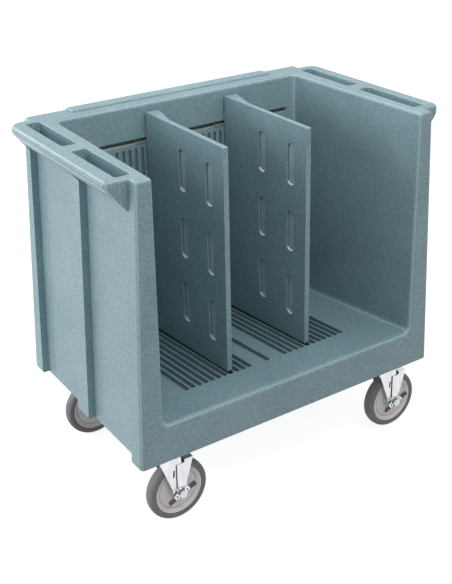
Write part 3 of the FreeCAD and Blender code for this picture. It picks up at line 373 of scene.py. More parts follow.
@dataclass(frozen=True)
class Finish:
    """A grained finish.

    Attributes:
        name: Name of the material.
        slot: Material slot of the record that it belongs to. Not used.
        light: Lighter colour of the grain.
        dark: Darker colour of the grain.
        fine: Scale of the fine grain, per metre.
        broad: Scale of the clouding, per metre.
        contrast: How sharply the fine grain shows.
        roughness: Lowest and highest roughness.
        metallic: One for bare metal.
        bump: Height of the grain in metres.
        pattern: How the grain runs.
    """

    name: str
    slot: str
    light: Colour
    dark: Colour
    fine: float = 400.0
    broad: float = 9.0
    contrast: float = 1.6
    roughness: Span = (0.5, 0.65)
    metallic: float = 0.0
    bump: float = 0.0
    pattern: Pattern = Pattern.SPECKLE

    def material(self, axle: Vector | None = None, label: str = "") -> bpy.types.Material:
        """Makes the material, or finds it if it was made before.

        Args:
            axle: Place of the axle that a turned grain runs round.
            label: Word before the name, where pieces of one finish differ by their axle or place.

        Returns:
            The material.
        """
        name = f"{label}_{self.name}" if label else self.name
        found = bpy.data.materials.get(name)
        if found:
            return found
        material = bpy.data.materials.new(name)
        material.use_nodes = True
        nodes = NodeGroup(material.node_tree)
        shader = material.node_tree.nodes["Principled BSDF"]
        shader.inputs["Metallic"].default_value = self.metallic
        place = nodes.add("ShaderNodeTexCoord").outputs["Object"]
        grain = nodes.add("ShaderNodeGroup", node_tree=grain_effect())
        nodes.link(self.grain_place(nodes, place, axle), grain.inputs["Place"])
        for socket, value in (("Light", (*self.light, 1.0)), ("Dark", (*self.dark, 1.0)), ("Fine", self.fine),
                              ("Broad", self.broad), ("Contrast", self.contrast)):
            grain.inputs[socket].default_value = value
        height = grain.outputs["Height"]
        nodes.link(self.tint(nodes, place, axle, grain.outputs["Colour"]), shader.inputs["Base Color"])
        nodes.link(nodes.ramp(height, *NOISE_HEIGHTS, *self.roughness), shader.inputs["Roughness"])
        if self.bump:
            bump = nodes.add("ShaderNodeBump")
            bump.inputs["Distance"].default_value = self.bump
            bump.inputs["Strength"].default_value = 1.0
            nodes.link(height, bump.inputs["Height"])
            nodes.link(bump.outputs["Normal"], shader.inputs["Normal"])
        return material

    def grain_place(self, nodes: NodeGroup, place: Socket, axle: Vector | None) -> Socket:
        """Bends, stretches or turns the place that the grain is read at.

        Args:
            nodes: Tree to fill.
            place: Object coordinates.
            axle: Axle of a turned grain.

        Returns:
            The place for the grain.
        """
        if self.pattern is Pattern.TURNED and axle is not None:
            return self.measured(nodes, place, axle)["Round"]
        change = nodes.add("ShaderNodeMapping")
        if self.pattern is Pattern.BRUSHED:
            change.inputs["Scale"].default_value = BRUSH_STRETCH
        else:
            change.inputs["Rotation"].default_value = SPECKLE_TURN
        nodes.link(place, change.inputs["Vector"])
        return change.outputs["Vector"]

    @staticmethod
    def measured(nodes: NodeGroup, place: Socket, axle: Vector) -> Outputs:
        """Adds the effect that measures from an axle.

        Args:
            nodes: Tree to fill.
            place: Object coordinates.
            axle: Place of the axle.

        Returns:
            The effect's outputs.
        """
        node = nodes.add("ShaderNodeGroup", node_tree=radius_effect())
        nodes.link(place, node.inputs["Place"])
        node.inputs["Axle"].default_value = axle
        return node.outputs

    def tint(self, nodes: NodeGroup, place: Socket, axle: Vector | None, colour: Socket) -> Socket:
        """Changes the grain's colour by place. A plain finish leaves it.

        Args:
            nodes: Tree to fill.
            place: Object coordinates.
            axle: Axle of a turned piece.
            colour: The grain's colour.

        Returns:
            The colour to use.
        """
        return colour


@dataclass(frozen=True)
class PaintedLightFinish(Finish):
    """Moulded plastic with a painted highlight along its rounded edges.

    Attributes:
        edge_highlight_colour: Colour of the painted highlight on the rounded edges.
        edge_highlight_share: Share of that colour.
        painted_shade: Colour of painted shade.
        lip: Height of the bay floor at its front edge, in metres.
        front: Front face of the body.
        fall: Drop of the bay floor per metre towards the back.
    """

    edge_highlight_colour: Colour = (0.52, 0.65, 0.68)
    edge_highlight_share: float = 0.45
    painted_shade: Colour = (0.10, 0.155, 0.17)
    lip: float = 0.315
    front: float = -0.29
    fall: float = 0.1

    def run(self, nodes: NodeGroup, parts: Outputs) -> Socket:
        """Measures how far a place lies behind the body's front face.

        Args:
            nodes: Tree to fill.
            parts: Object coordinates, split.

        Returns:
            The distance in metres.
        """
        return nodes.maths("SUBTRACT", parts["Y"], self.front)

    def depth(self, nodes: NodeGroup, parts: Outputs) -> Socket:
        """Measures how far a place lies below the bay floor's plane.

        Args:
            nodes: Tree to fill.
            parts: Object coordinates, split.

        Returns:
            The depth in metres.
        """
        level = nodes.maths("SUBTRACT", self.lip, nodes.product(self.run(nodes, parts), self.fall))
        return nodes.maths("SUBTRACT", level, parts["Z"])

    def tint(self, nodes: NodeGroup, place: Socket, axle: Vector | None, colour: Socket) -> Socket:
        """Lightens the rounded edges with a painted highlight.

        Args:
            nodes: Tree to fill.
            place: Object coordinates.
            axle: Axle of a turned piece.
            colour: The grain's colour.

        Returns:
            The colour to use.
        """
        # Painted highlight on the rounded edges that don't look down, where the light catches them.
        lit_edges = nodes.add("ShaderNodeGroup", node_tree=edge_effect())
        nodes.link(nodes.add("ShaderNodeTexCoord").outputs["Normal"], lit_edges.inputs["Normal"])
        return nodes.blend(nodes.product(lit_edges.outputs["Edge"], self.edge_highlight_share), colour, self.edge_highlight_colour)


@dataclass(frozen=True)
class PanelFinish(PaintedLightFinish):
    """Moulded plastic of a divider, with painted light and shade in its blind slots and a painted shadow
    along its foot.

    Attributes:
        middle: Place of the panel's middle plane across the cart.
        half: Half the panel's thickness.
        top: Height of the panel's top edge.
        sunk: Depths below the panel's faces over which the slots' colours come in.
        slot_light: Painted light on the slots' long walls and bottoms, where they look up and back.
        slot_paint: Share of that painted light, and of the painted shade where they look down and to the
            front.
        slanted: Sideways part of the normal over which both come in.
        looks_up: Sum of the normal's parts to the back and up over which the painted light comes in.
        looks_down: The same for the painted shade.
        glint: Painted highlight on the slots' lower ends, which look up.
        ledge: Upward part of the normal over which that colour comes in.
        below_top: Distances below the top edge over which it comes in.
        foot: Height of the painted shadow line above the bay floor, at the front face.
        opening: Growth of that height per metre towards the back.
        foot_soft: Softness of the line's upper edge.
        foot_shadow: Colour of that painted shadow line.
        foot_shadow_share: Share of that colour.
    """

    middle: float = 0.0
    half: float = 0.007
    top: float = 0.0
    sunk: Span = (0.0015, 0.003)
    slot_light: Colour = (0.74, 0.84, 0.86)
    slot_paint: float = 0.92
    slanted: Span = (0.15, 0.45)
    looks_up: Span = (-0.25, 0.45)
    looks_down: Span = (-0.15, -0.6)
    glint: Colour = (0.90, 0.95, 0.96)
    ledge: Span = (0.2, 0.6)
    below_top: Span = (0.015, 0.025)
    foot: float = 0.003
    opening: float = 0.012
    foot_soft: float = 0.001
    foot_shadow: Colour = (0.012, 0.018, 0.02)
    foot_shadow_share: float = 0.95

    def tint(self, nodes: NodeGroup, place: Socket, axle: Vector | None, colour: Socket) -> Socket:
        """Paints light and shade into the blind slots, which lie below the panel's faces, and a shadow line
        along the foot.

        Args:
            nodes: Tree to fill.
            place: Object coordinates.
            axle: Axle of a turned piece.
            colour: The grain's colour.

        Returns:
            The colour to use.
        """
        colour = super().tint(nodes, place, axle, colour)
        parts = nodes.split(place)
        normal = nodes.split(nodes.add("ShaderNodeTexCoord").outputs["Normal"])
        # Painted light and shade in the blind slots: lighter where the walls look up and back, darker where
        # they look down and to the front.
        out = nodes.maths("ABSOLUTE", nodes.maths("SUBTRACT", parts["X"], self.middle))
        below = nodes.ramp(out, *(self.half - step for step in self.sunk))
        slot = nodes.product(below, nodes.ramp(nodes.maths("ABSOLUTE", normal["X"]), *self.slanted))
        turned = nodes.maths("ADD", normal["Y"], normal["Z"])
        slot_paint = nodes.product(slot, nodes.ramp(turned, *self.looks_up, 0.0, self.slot_paint))
        shaded_sides = nodes.product(slot, nodes.ramp(turned, *self.looks_down, 0.0, self.slot_paint))
        colour = nodes.blend(shaded_sides, nodes.blend(slot_paint, colour, self.slot_light), self.painted_shade)
        # Painted highlight on the slots' lower ends.
        under = nodes.ramp(parts["Z"], *(self.top - step for step in self.below_top))
        ledge = nodes.product(below, under, nodes.ramp(normal["Z"], *self.ledge))
        colour = nodes.blend(ledge, colour, self.glint)
        # Painted shadow in the gap along the divider's foot, taller towards the back.
        opened = nodes.product(self.run(nodes, parts), self.opening)
        lowered = nodes.maths("ADD", self.depth(nodes, parts), opened)
        foot = nodes.ramp(lowered, -self.foot - self.foot_soft, -self.foot)
        return nodes.blend(nodes.product(foot, self.foot_shadow_share), colour, self.foot_shadow)


@dataclass(frozen=True)
class MouldedFinish(PaintedLightFinish):
    """Speckled moulded plastic with painted shade down in the grooves of the bay.

    Attributes:
        grooved: Half the width of the grooved floor.
        grooved_soft: Softness of that width's ends.
        behind_front: Distances behind the front face over which the grooved floor begins.
        wall: Inner face of the back wall.
        before_wall: Distances before that face over which the grooved floor ends.
        groove: Depth of the floor grooves.
        shallow: Depths over which their painted shade comes in.
        deep: Depths over which it ends.
        above_foot: Distances above their bottom over which the share turns into the bottom's.
        side_shade_share: Share of the painted shade on the sides of the floor grooves.
        foot_shade_share: Share of it at the bottom of the floor grooves.
        upright_start: Distances behind the back wall's face over which the upright grooves' painted shade
            comes in.
        upright_end: Distances over which it ends.
        upright_top: Heights over which it ends.
        wall_shade_share: Share of it in the upright grooves.
    """

    grooved: float = 0.255
    grooved_soft: float = 0.001
    behind_front: Span = (0.11, 0.112)
    wall: float = 0.1955
    before_wall: Span = (0.001, 0.003)
    groove: float = 0.01
    shallow: Span = (0.0003, 0.0012)
    deep: Span = (0.0125, 0.0115)
    above_foot: Span = (0.0015, 0.0005)
    side_shade_share: float = 0.25
    foot_shade_share: float = 0.42
    upright_start: Span = (0.0005, 0.004)
    upright_end: Span = (0.006, 0.0055)
    upright_top: Span = (0.80, 0.797)
    wall_shade_share: float = 0.6

    def tint(self, nodes: NodeGroup, place: Socket, axle: Vector | None, colour: Socket) -> Socket:
        """Paints shade into the floor grooves and the upright grooves, over the painted edge highlight.

        Args:
            nodes: Tree to fill.
            place: Object coordinates.
            axle: Axle of a turned piece.
            colour: The grain's colour.

        Returns:
            The colour to use.
        """
        colour = super().tint(nodes, place, axle, colour)
        parts = nodes.split(place)
        depth = self.depth(nodes, parts)
        begins = nodes.ramp(parts["Y"], *(self.front + step for step in self.behind_front))
        ends = nodes.ramp(parts["Y"], *(self.wall - step for step in self.before_wall))
        across = nodes.maths("ABSOLUTE", parts["X"])
        within = nodes.ramp(across, self.grooved + self.grooved_soft, self.grooved)
        # Painted shade down in the floor grooves and the upright grooves, where little light reaches.
        floor = nodes.product(nodes.ramp(depth, *self.shallow), nodes.ramp(depth, *self.deep),
                              begins, ends, within)
        upright = nodes.product(nodes.ramp(parts["Y"], *(self.wall + step for step in self.upright_start)),
                                nodes.ramp(parts["Y"], *(self.wall + step for step in self.upright_end)),
                                nodes.ramp(parts["Z"], *self.upright_top))
        foot = (self.groove - step for step in self.above_foot)
        strength = nodes.ramp(depth, *foot, self.side_shade_share, self.foot_shade_share)
        share = nodes.maths("MAXIMUM", nodes.product(floor, strength), nodes.product(upright, self.wall_shade_share))
        return nodes.blend(share, colour, self.painted_shade)


@dataclass(frozen=True)
class DiscFinish(Finish):
    """Pale wheel plastic with a lighter edge ring, a darker turned groove and a darker hub.

    Attributes:
        rim: Radius of the disc in metres.
        edge: Colour of the edge ring.
        ring: Distances inside the rim over which that ring comes in.
        groove: Colour of the turned groove and the hub.
        groove_start: Distances inside the rim over which the groove comes in.
        groove_end: Distances over which it ends.
        groove_share: Share of the groove's colour there.
        hub: Radii over which it comes in towards the hub.
        hub_share: Share of it at the hub.
    """

    rim: float = 0.063
    edge: Colour = (0.97, 0.965, 0.955)
    ring: Span = (0.0032, 0.0020)
    groove: Colour = (0.45, 0.42, 0.40)
    groove_start: Span = (0.0142, 0.0126)
    groove_end: Span = (0.0096, 0.0110)
    groove_share: float = 0.6
    hub: Span = (0.030, 0.020)
    hub_share: float = 0.5

    def tint(self, nodes: NodeGroup, place: Socket, axle: Vector | None, colour: Socket) -> Socket:
        """Lightens the edge ring and darkens the groove inside it and the hub.

        Args:
            nodes: Tree to fill.
            place: Object coordinates.
            axle: Axle of the wheel.
            colour: The grain's colour.

        Returns:
            The colour to use.
        """
        if axle is None:
            return colour
        radius = self.measured(nodes, place, axle)["Radius"]
        ring, start, end = (nodes.ramp(radius, *(self.rim - step for step in span))
                            for span in (self.ring, self.groove_start, self.groove_end))
        hub = nodes.ramp(radius, *self.hub, 0.0, self.hub_share)
        shade = nodes.maths("MAXIMUM", nodes.product(start, end, self.groove_share), hub)
        return nodes.blend(ring, nodes.blend(shade, colour, self.groove), self.edge)


BODY_PLASTIC = MouldedFinish(
    "speckled_body", "body_plastic", (0.305, 0.445, 0.485), (0.165, 0.275, 0.31),
    fine=340.0, broad=7.0, contrast=4.4, roughness=(0.36, 0.52), bump=0.0004)
DIVIDER_PLASTIC = PanelFinish(
    "speckled_divider", "divider_plastic", (0.295, 0.435, 0.475), (0.16, 0.268, 0.303),
    fine=340.0, broad=7.0, contrast=6.0, roughness=(0.36, 0.52), bump=0.0004)
# The parting line's pale colour is a painted highlight along the handles' lower outer edges.
PARTING_HIGHLIGHT = Finish(
    "parting_line_highlight", "body_plastic", (0.54, 0.68, 0.70), (0.44, 0.57, 0.60),
    fine=300.0, broad=12.0, roughness=(0.42, 0.55))
RAIL_STEEL = Finish(
    "rail_steel", "rail_steel", (0.62, 0.57, 0.46), (0.42, 0.38, 0.30),
    fine=160.0, broad=20.0, roughness=(0.35, 0.5), metallic=0.9, pattern=Pattern.BRUSHED)
HOOK_STEEL = Finish(
    "hook_steel", "hook_steel", (0.62, 0.60, 0.54), (0.46, 0.44, 0.39),
    fine=160.0, broad=20.0, roughness=(0.35, 0.5), metallic=0.9, pattern=Pattern.BRUSHED)
ZINC = Finish(
    "bright_zinc", "zinc_steel", (0.82, 0.83, 0.845), (0.60, 0.615, 0.64),
    fine=160.0, broad=30.0, roughness=(0.16, 0.3), metallic=1.0, pattern=Pattern.BRUSHED)
FASTENER = Finish(
    "fastener_zinc", "fastener_steel", (0.70, 0.71, 0.72), (0.50, 0.51, 0.53),
    fine=260.0, broad=40.0, roughness=(0.26, 0.4), metallic=1.0)
# Near-black paint for the painted shade and shadow marks on the cams and forks.
SHADE_MARK_FINISH = Finish(
    "shade_mark_paint", "fastener_steel", (0.055, 0.055, 0.06), (0.025, 0.025, 0.028),
    fine=300.0, broad=40.0, roughness=(0.4, 0.6), metallic=0.6)
BALL_STEEL = Finish(
    "ball_steel", "ball_steel", (0.84, 0.84, 0.86), (0.74, 0.74, 0.77),
    fine=200.0, broad=60.0, roughness=(0.1, 0.18), metallic=1.0)
BRASS = Finish(
    "insert_brass", "insert_brass", (0.76, 0.60, 0.30), (0.60, 0.46, 0.22),
    fine=300.0, broad=60.0, roughness=(0.3, 0.45), metallic=1.0)
WHEEL_PLASTIC = DiscFinish(
    "wheel_core", "wheel_plastic", (0.96, 0.93, 0.915), (0.80, 0.76, 0.745),
    fine=420.0, broad=30.0, contrast=1.5, roughness=(0.4, 0.55), pattern=Pattern.TURNED)
TYRE_RUBBER = Finish(
    "tyre_rubber", "tyre_rubber", (0.25, 0.238, 0.255), (0.175, 0.166, 0.178),
    fine=500.0, broad=30.0, contrast=1.4, roughness=(0.6, 0.78), bump=0.0002, pattern=Pattern.TURNED)
BUSH_PLASTIC = Finish(
    "bush_plastic", "bush_plastic", (0.80, 0.80, 0.77), (0.70, 0.70, 0.67),
    fine=300.0, broad=40.0, roughness=(0.42, 0.55))
SHOE_RUBBER = Finish(
    "shoe_rubber", "shoe_rubber", (0.050, 0.050, 0.052), (0.030, 0.030, 0.031),
    fine=450.0, broad=40.0, roughness=(0.68, 0.8), bump=0.0002)
PAD_RUBBER = Finish(
    "pad_rubber", "pad_rubber", (0.085, 0.068, 0.060), (0.022, 0.018, 0.016),
    fine=600.0, broad=60.0, contrast=2.2, roughness=(0.6, 0.78), bump=0.0003)


@dataclass
class Piece:
    """Gathers mesh forms and turns them into one object that rides on a body.

    Attributes:
        name: Name of the object.
        finish: Its finish.
        body: Body that carries it.
        shape: The mesh under way.
    """

    name: str
    finish: Finish
    body: str
    shape: bmesh.types.BMesh = field(default_factory=bmesh.new)

    def turned(self, profile: Outline, centre: Vector, steps: int) -> None:
        """Spins a closed profile about an axle along Y.

        Args:
            profile: Radius and place along the axle of each point.
            centre: Middle of the axle.
            steps: Divisions of the full turn.
        """
        points = [self.shape.verts.new(centre + Vector((radius, along, 0.0))) for radius, along in profile]
        edges = [self.shape.edges.new((points[i - 1], points[i])) for i in range(len(points))]
        bmesh.ops.spin(self.shape, geom=points + edges, cent=centre, axis=(0.0, 1.0, 0.0), angle=math.tau,
                       steps=steps, use_merge=True)

    def block(self, size: Sequence[float], matrix: Matrix, soft: float, segments: int = 3) -> None:
        """Adds a soft-edged block.

        Args:
            size: Its lengths.
            matrix: Its place and turn.
            soft: Radius of its edges.
            segments: Divisions of each edge's round.
        """
        stretch = Matrix.Diagonal((*size, 1.0))
        made = bmesh.ops.create_cube(self.shape, size=1.0, matrix=matrix @ stretch)
        edges = list({edge for vert in made["verts"] for edge in vert.link_edges})
        bmesh.ops.bevel(self.shape, geom=edges, offset=soft, segments=segments, profile=0.5, affect="EDGES",
                        material=-1)

    def plate(self, outline: Outline, matrix: Matrix, gauge: float, soft: float) -> None:
        """Adds a flat plate with soft edges, drawn in its own X and Z and extruded along Y.

        Args:
            outline: Points of its outline.
            matrix: Its place and turn.
            gauge: Its thickness, towards +Y.
            soft: Radius of its edges.
        """
        points = [self.shape.verts.new(matrix @ Vector((a, 0.0, b))) for a, b in outline]
        face = self.shape.faces.new(points)
        made = bmesh.ops.extrude_face_region(self.shape, geom=[face])
        moved = [item for item in made["geom"] if isinstance(item, bmesh.types.BMVert)]
        direction = matrix.to_3x3() @ Vector((0.0, gauge, 0.0))
        bmesh.ops.translate(self.shape, verts=moved, vec=direction)
        edges = [edge for vert in points + moved for edge in vert.link_edges]
        rings = [edge for edge in set(edges) if self.on_one_side(edge, direction)]
        bmesh.ops.bevel(self.shape, geom=rings, offset=soft, segments=2, profile=0.5, affect="EDGES",
                        material=-1)

    @staticmethod
    def on_one_side(edge: bmesh.types.BMEdge, direction: Vector) -> bool:
        """Tells whether an edge runs round a plate's face and not through its thickness.

        Args:
            edge: Edge to look at.
            direction: Direction of the thickness.

        Returns:
            Whether it lies in a face of the plate.
        """
        run = (edge.verts[1].co - edge.verts[0].co).normalized()
        return abs(run.dot(direction.normalized())) < FACE_SLANT

    def place(self, *replaced: str, axle: Vector | None = None, label: str = "") -> bpy.types.Object:
        """Makes the object.

        Args:
            replaced: Solids that it stands for.
            axle: Axle that a turned finish runs round.
            label: Word before the material's name.

        Returns:
            The object.
        """
        bmesh.ops.remove_doubles(self.shape, verts=self.shape.verts, dist=MERGE_DISTANCE)
        bmesh.ops.recalc_face_normals(self.shape, faces=self.shape.faces)
        mesh = bpy.data.meshes.new(self.name)
        self.shape.to_mesh(mesh)
        self.shape.free()
        mesh.shade_smooth()
        mesh.set_sharp_from_angle(angle=SMOOTH_ANGLE)
        piece = bpy.data.objects.new(self.name, mesh)
        bpy.context.scene.collection.objects.link(piece)
        piece.data.materials.append(self.finish.material(axle, label))
        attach(piece, self.body)
        if replaced:
            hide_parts(*replaced)
        log.info("made %s on %s", self.name, self.body)
        return piece


class SubAssembly:
    """A group of pieces that is dressed together."""

    title: str = "sub-assembly"

    def build(self) -> None:
        """Makes the pieces that the solids don't have."""

    def dress(self) -> None:
        """Gives the solids their finishes."""
        raise NotImplementedError

    @staticmethod
    def finish_node(name: str, finish: Finish, axle: Vector | None = None,
                    label: str = "") -> bpy.types.Object:
        """Gives one solid a finish.

        Args:
            name: Name of the node.
            finish: Finish to use.
            axle: Axle that a turned finish runs round.
            label: Word before the material's name.

        Returns:
            The node's object.
        """
        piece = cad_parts[name]
        piece.data.materials.clear()
        piece.data.materials.append(finish.material(axle, label))
        log.info("dressed %s with %s", name, finish.name)
        return piece


@dataclass
class CartShell(SubAssembly):
    """The moulded body, its rail and the caster fasteners.

    Attributes:
        bead: Radius of the parting line along the handles.
        bead_soft: Round of its edges as a share of that radius.
        divider_below_rim: Drop from the rim to the dividers' top edges.
        rim_above_edge: Drop from the rim to the parting line.
        handle_ends: Distances of the handles' straight run from the front and back faces.
    """

    bead: float = 0.0014
    bead_soft: float = 0.8
    divider_below_rim: float = 0.022
    rim_above_edge: float = 0.029
    handle_ends: Span = (0.048, 0.080)
    title: str = "cart shell"

    def build(self) -> None:
        """Makes the thin parting line along the lower outer edge of each handle; its pale colour is a painted
        highlight.
        """
        low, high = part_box("cart_body")
        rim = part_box("left_divider")[1].z + self.divider_below_rim
        height = rim - self.rim_above_edge
        start, end = low.y + self.handle_ends[0], high.y - self.handle_ends[1]
        size = (2 * self.bead, end - start, 2 * self.bead)
        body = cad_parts["cart_body"]
        for side in Side:
            outside = Vector((side.sign, (start + end) / 2, height))
            found, spot, *_ = body.ray_cast(outside, Vector((-side.sign, 0.0, 0.0)))
            if not found:
                continue
            piece = Piece(f"{side.value}_parting_line_highlight", PARTING_HIGHLIGHT, "cart")
            piece.block(size, Matrix.Translation(spot), self.bead_soft * self.bead)
            piece.place()

    def dress(self) -> None:
        """Gives the body, rail and fasteners their finishes."""
        finishes = {"cart_body": BODY_PLASTIC, "divider_rail": RAIL_STEEL, "rail_screws": FASTENER,
                    "caster_inserts": BRASS, "caster_bolts": FASTENER, "caster_washers": FASTENER,
                    "swivel_balls": BALL_STEEL}
        for name, finish in finishes.items():
            self.finish_node(name, finish)


@dataclass
class DividerUnit(SubAssembly):
    """A lift-out divider with its hook plate.

    Attributes:
        side: Which of the two dividers it is.
    """

    side: Side
    title: str = "divider"

    def dress(self) -> None:
        """Gives the divider, hook plate and screws their finishes."""
        panel = f"{self.side.value}_divider"
        low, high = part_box(panel)
        plastic = replace(DIVIDER_PLASTIC, middle=low.x + DIVIDER_PLASTIC.half, top=high.z)
        self.finish_node(panel, plastic, label=panel)
        self.finish_node(f"{self.side.value}_divider_hook", HOOK_STEEL)
        self.finish_node(f"{self.side.value}_hook_screws", FASTENER)


@dataclass
class Caster(SubAssembly):
    """A swivel caster, with a foot brake at the front of the cart.

    Attributes:
        corner: Which of the four casters it is.
        steps: Divisions of the turned pieces.
        play: Gap where turned pieces meet others.
        crown: Height of the tyre's rounded part.
        shoulder: Roundness of the tyre's shoulders, two for a circle.
        shoulder_steps: Divisions of the tyre's outline.
        tyre_foot: Half width of the tyre at the rim, as a share of its half width.
        disc_face: Half width of the disc, as a share of the tyre's half width.
        disc_edge: Half width of the disc at the rim, as a share of its half width.
        tilt: Rest angle of the brake lever in degrees.
        lever_ends: Places of the lever's two ends along it.
        lever_half: Half the height of its ends.
        lever_cut: Cut-off corners of its ends.
        waist: Place and half height of its waists.
        cam: Radius of its round cam.
        cam_steps: First direction of the cam's arc from an arm, step in degrees, number of points.
        lever_soft: Radius of the lever's edges.
        mark: Thickness of the painted shade marks.
        mark_soft: Radius of their edges.
        arc: Radius of the painted shadow arcs, step in degrees, length of a step's mark.
        pad: Length and height of the rubber pads.
        pad_places: Places of their middles along the lever.
        pad_rise: Place of their middles across the lever.
        pad_base: Depth of a pad between its ribs, as a share of its depth.
        pad_soft: Radius of a pad's edges.
        ribs: Number of ribs on a pad.
        rib_pitch: Distance between ribs.
        rib: Width and height of a rib.
        rib_soft: Radius of a rib's edges.
        fork_half: Middle of the wheel to the outer face of the fork's legs.
        slot: Width and height of the painted shade in the fork's pressed slot.
        slot_place: Its place from the axle, along X and Z.
        slot_lean: Its lean in degrees.
        slot_soft: Radius of its edges.
        joint: Width and depth of the painted shadow in the gap beside the brake arm.
        gap_shadow_inset: Place of that shadow inside the arm's edge.
        gap_shadow_out: Place of that shadow before the fork's face.
        gap_shadow_ends: Heights of its ends above the axle.
        gap_shadow_soft: Radius of its edges.
        soft: Width of the soft edges on the pressed steel.
        soft_angle: Smallest angle in degrees of an edge that gets them.
    """

    corner: Corner
    steps: int = 128
    play: float = 0.0001
    crown: float = 0.0115
    shoulder: float = 2.7
    shoulder_steps: int = 24
    tyre_foot: float = 0.87
    disc_face: float = 0.85
    disc_edge: float = 0.98
    tilt: float = 23.0
    lever_ends: Span = (0.0435, -0.0405)
    lever_half: float = 0.0070
    lever_cut: float = 0.003
    waist: Span = (0.019, 0.0058)
    cam: float = 0.0135
    cam_steps: tuple[float, float, int] = (40.0, 20.0, 6)
    lever_soft: float = 0.0006
    mark: float = 0.0006
    mark_soft: float = 0.0002
    arc: tuple[float, int, float] = (0.0116, 10, 0.0022)
    pad: Span = (0.0192, 0.0108)
    pad_places: Span = (0.032, -0.032)
    pad_rise: float = 0.001
    pad_base: float = 0.9
    pad_soft: float = 0.0018
    ribs: int = 5
    rib_pitch: float = 0.0036
    rib: Span = (0.0016, 0.0092)
    rib_soft: float = 0.0004
    fork_half: float = 0.0226
    slot: Span = (0.0046, 0.0190)
    slot_place: Span = (-0.0178, 0.058)
    slot_lean: float = 6.0
    slot_soft: float = 0.00025
    joint: Span = (0.0013, 0.0024)
    gap_shadow_inset: float = 0.0004
    gap_shadow_out: float = 0.0010
    gap_shadow_ends: Span = (0.0145, 0.080)
    gap_shadow_soft: float = 0.0003
    soft: float = 0.0007
    soft_angle: float = 40.0
    title: str = "caster"

    def __post_init__(self) -> None:
        """Reads the wheel's place and size from the solids."""
        low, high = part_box(self.node("tyre"))
        self.axle = (low + high) / 2
        self.radius = (high.z - low.z) / 2
        self.half = (high.y - low.y) / 2
        low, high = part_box(self.node("wheel"))
        self.rim = (high.z - low.z) / 2
        self.hub_half = (high.y - low.y) / 2

    def node(self, part: str) -> str:
        """Names one of the caster's solids, pieces or bodies.

        Args:
            part: Name without the corner.

        Returns:
            The full name.
        """
        return f"{self.corner.value}_{part}"

    def build(self) -> None:
        """Makes the turned wheel and, on a braked caster, the brake's small pieces."""
        self.make_tyre()
        self.make_disc()
        if self.corner.braked:
            self.make_lever()
            self.make_cam_marks()
            self.make_pads()
            self.make_fork_marks()

    def make_tyre(self) -> None:
        """Turns the tyre with round shoulders."""
        base = self.radius - self.crown
        power = 2.0 / self.shoulder
        foot = self.tyre_foot * self.half
        profile = [(self.rim, foot)]
        for i in range(self.shoulder_steps + 1):
            angle = math.pi * i / self.shoulder_steps
            across = math.copysign(abs(math.cos(angle)) ** power, math.cos(angle)) * self.half
            profile.append((base + self.crown * math.sin(angle) ** power, across))
        profile.append((self.rim, -foot))
        piece = Piece(self.node("turned_tyre"), TYRE_RUBBER, self.node("rolling_wheel"))
        piece.turned(profile, self.axle, self.steps)
        piece.place(self.node("tyre"), axle=self.axle, label=self.corner.value)

    def make_disc(self) -> None:
        """Turns the wheel centre: edge ring, turned groove, dished web and hub."""
        face = self.disc_face * self.half
        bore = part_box(self.node("axle_bush"))
        hole = (bore[1].z - bore[0].z) / 2 + self.play
        near = [(self.rim - self.play, self.disc_edge * face)]
        near += [(self.rim - inside, face - behind) for inside, behind in DISC_WEB]
        near += [(radius, face - behind) for radius, behind in DISC_FOOT]
        near += [(radius, self.hub_half - behind) for radius, behind in DISC_HUB]
        near.append((hole, self.hub_half))
        profile = near + [(radius, -along) for radius, along in reversed(near)]
        piece = Piece(self.node("turned_disc"), WHEEL_PLASTIC, self.node("rolling_wheel"))
        piece.turned(profile, self.axle, self.steps)
        piece.place(self.node("wheel"), axle=self.axle, label=self.corner.value)

    def lever_frame(self) -> Matrix:
        """Gives the lever's own frame: X along it, Z across it, Y from front to back at its front face.

        Returns:
            Its place and turn.
        """
        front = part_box(self.node("brake_lever"))[0].y
        spot = Vector((self.axle.x, front, self.axle.z))
        return Matrix.Translation(spot) @ Matrix.Rotation(math.radians(-self.tilt), 4, "Y")

    def make_lever(self) -> None:
        """Makes the rocker lever: waisted arms and a round cam in the middle."""
        low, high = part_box(self.node("brake_lever"))
        first, step, count = self.cam_steps
        outline = []
        for reach, turned in zip(self.lever_ends, (0.0, 180.0)):
            side = math.copysign(1.0, reach)
            edge = [(side * self.waist[0], self.waist[1]), (reach - side * self.lever_cut, self.lever_half),
                    (reach, self.lever_half - self.lever_cut)]
            outline += [(along, -side * across) for along, across in edge]
            outline += [(along, side * across) for along, across in reversed(edge)]
            angles = [math.radians(turned + first + step * i) for i in range(count)]
            outline += [(self.cam * math.cos(angle), self.cam * math.sin(angle)) for angle in angles]
        piece = Piece(self.node("cam_lever"), ZINC, self.node("brake_rocker"))
        piece.plate(outline, self.lever_frame(), high.y - low.y, self.lever_soft)
        piece.place(self.node("brake_lever"))

    def make_cam_marks(self) -> None:
        """Makes the painted shade marks and shadow arcs on the lever's cam."""
        matrix = self.lever_frame()
        piece = Piece(self.node("cam_marks"), SHADE_MARK_FINISH, self.node("brake_rocker"))
        # Painted shade: dark blocks and arcs where shadows fall on the cam.
        for along, across, length, height in CAM_SHADE_MARKS:
            spot = matrix @ Matrix.Translation((along, 0.0, across))
            piece.block((length, self.mark, height), spot, self.mark_soft, 1)
        radius, step, length = self.arc
        out = Matrix.Translation((radius, 0.0, 0.0))
        for first, last, wide in CAM_SHADOW_ARCS:
            for turn in range(first, last, step):
                spot = matrix @ Matrix.Rotation(math.radians(-turn), 4, "Y") @ out
                piece.block((wide, self.mark, length), spot, self.mark_soft, 1)
        piece.place()

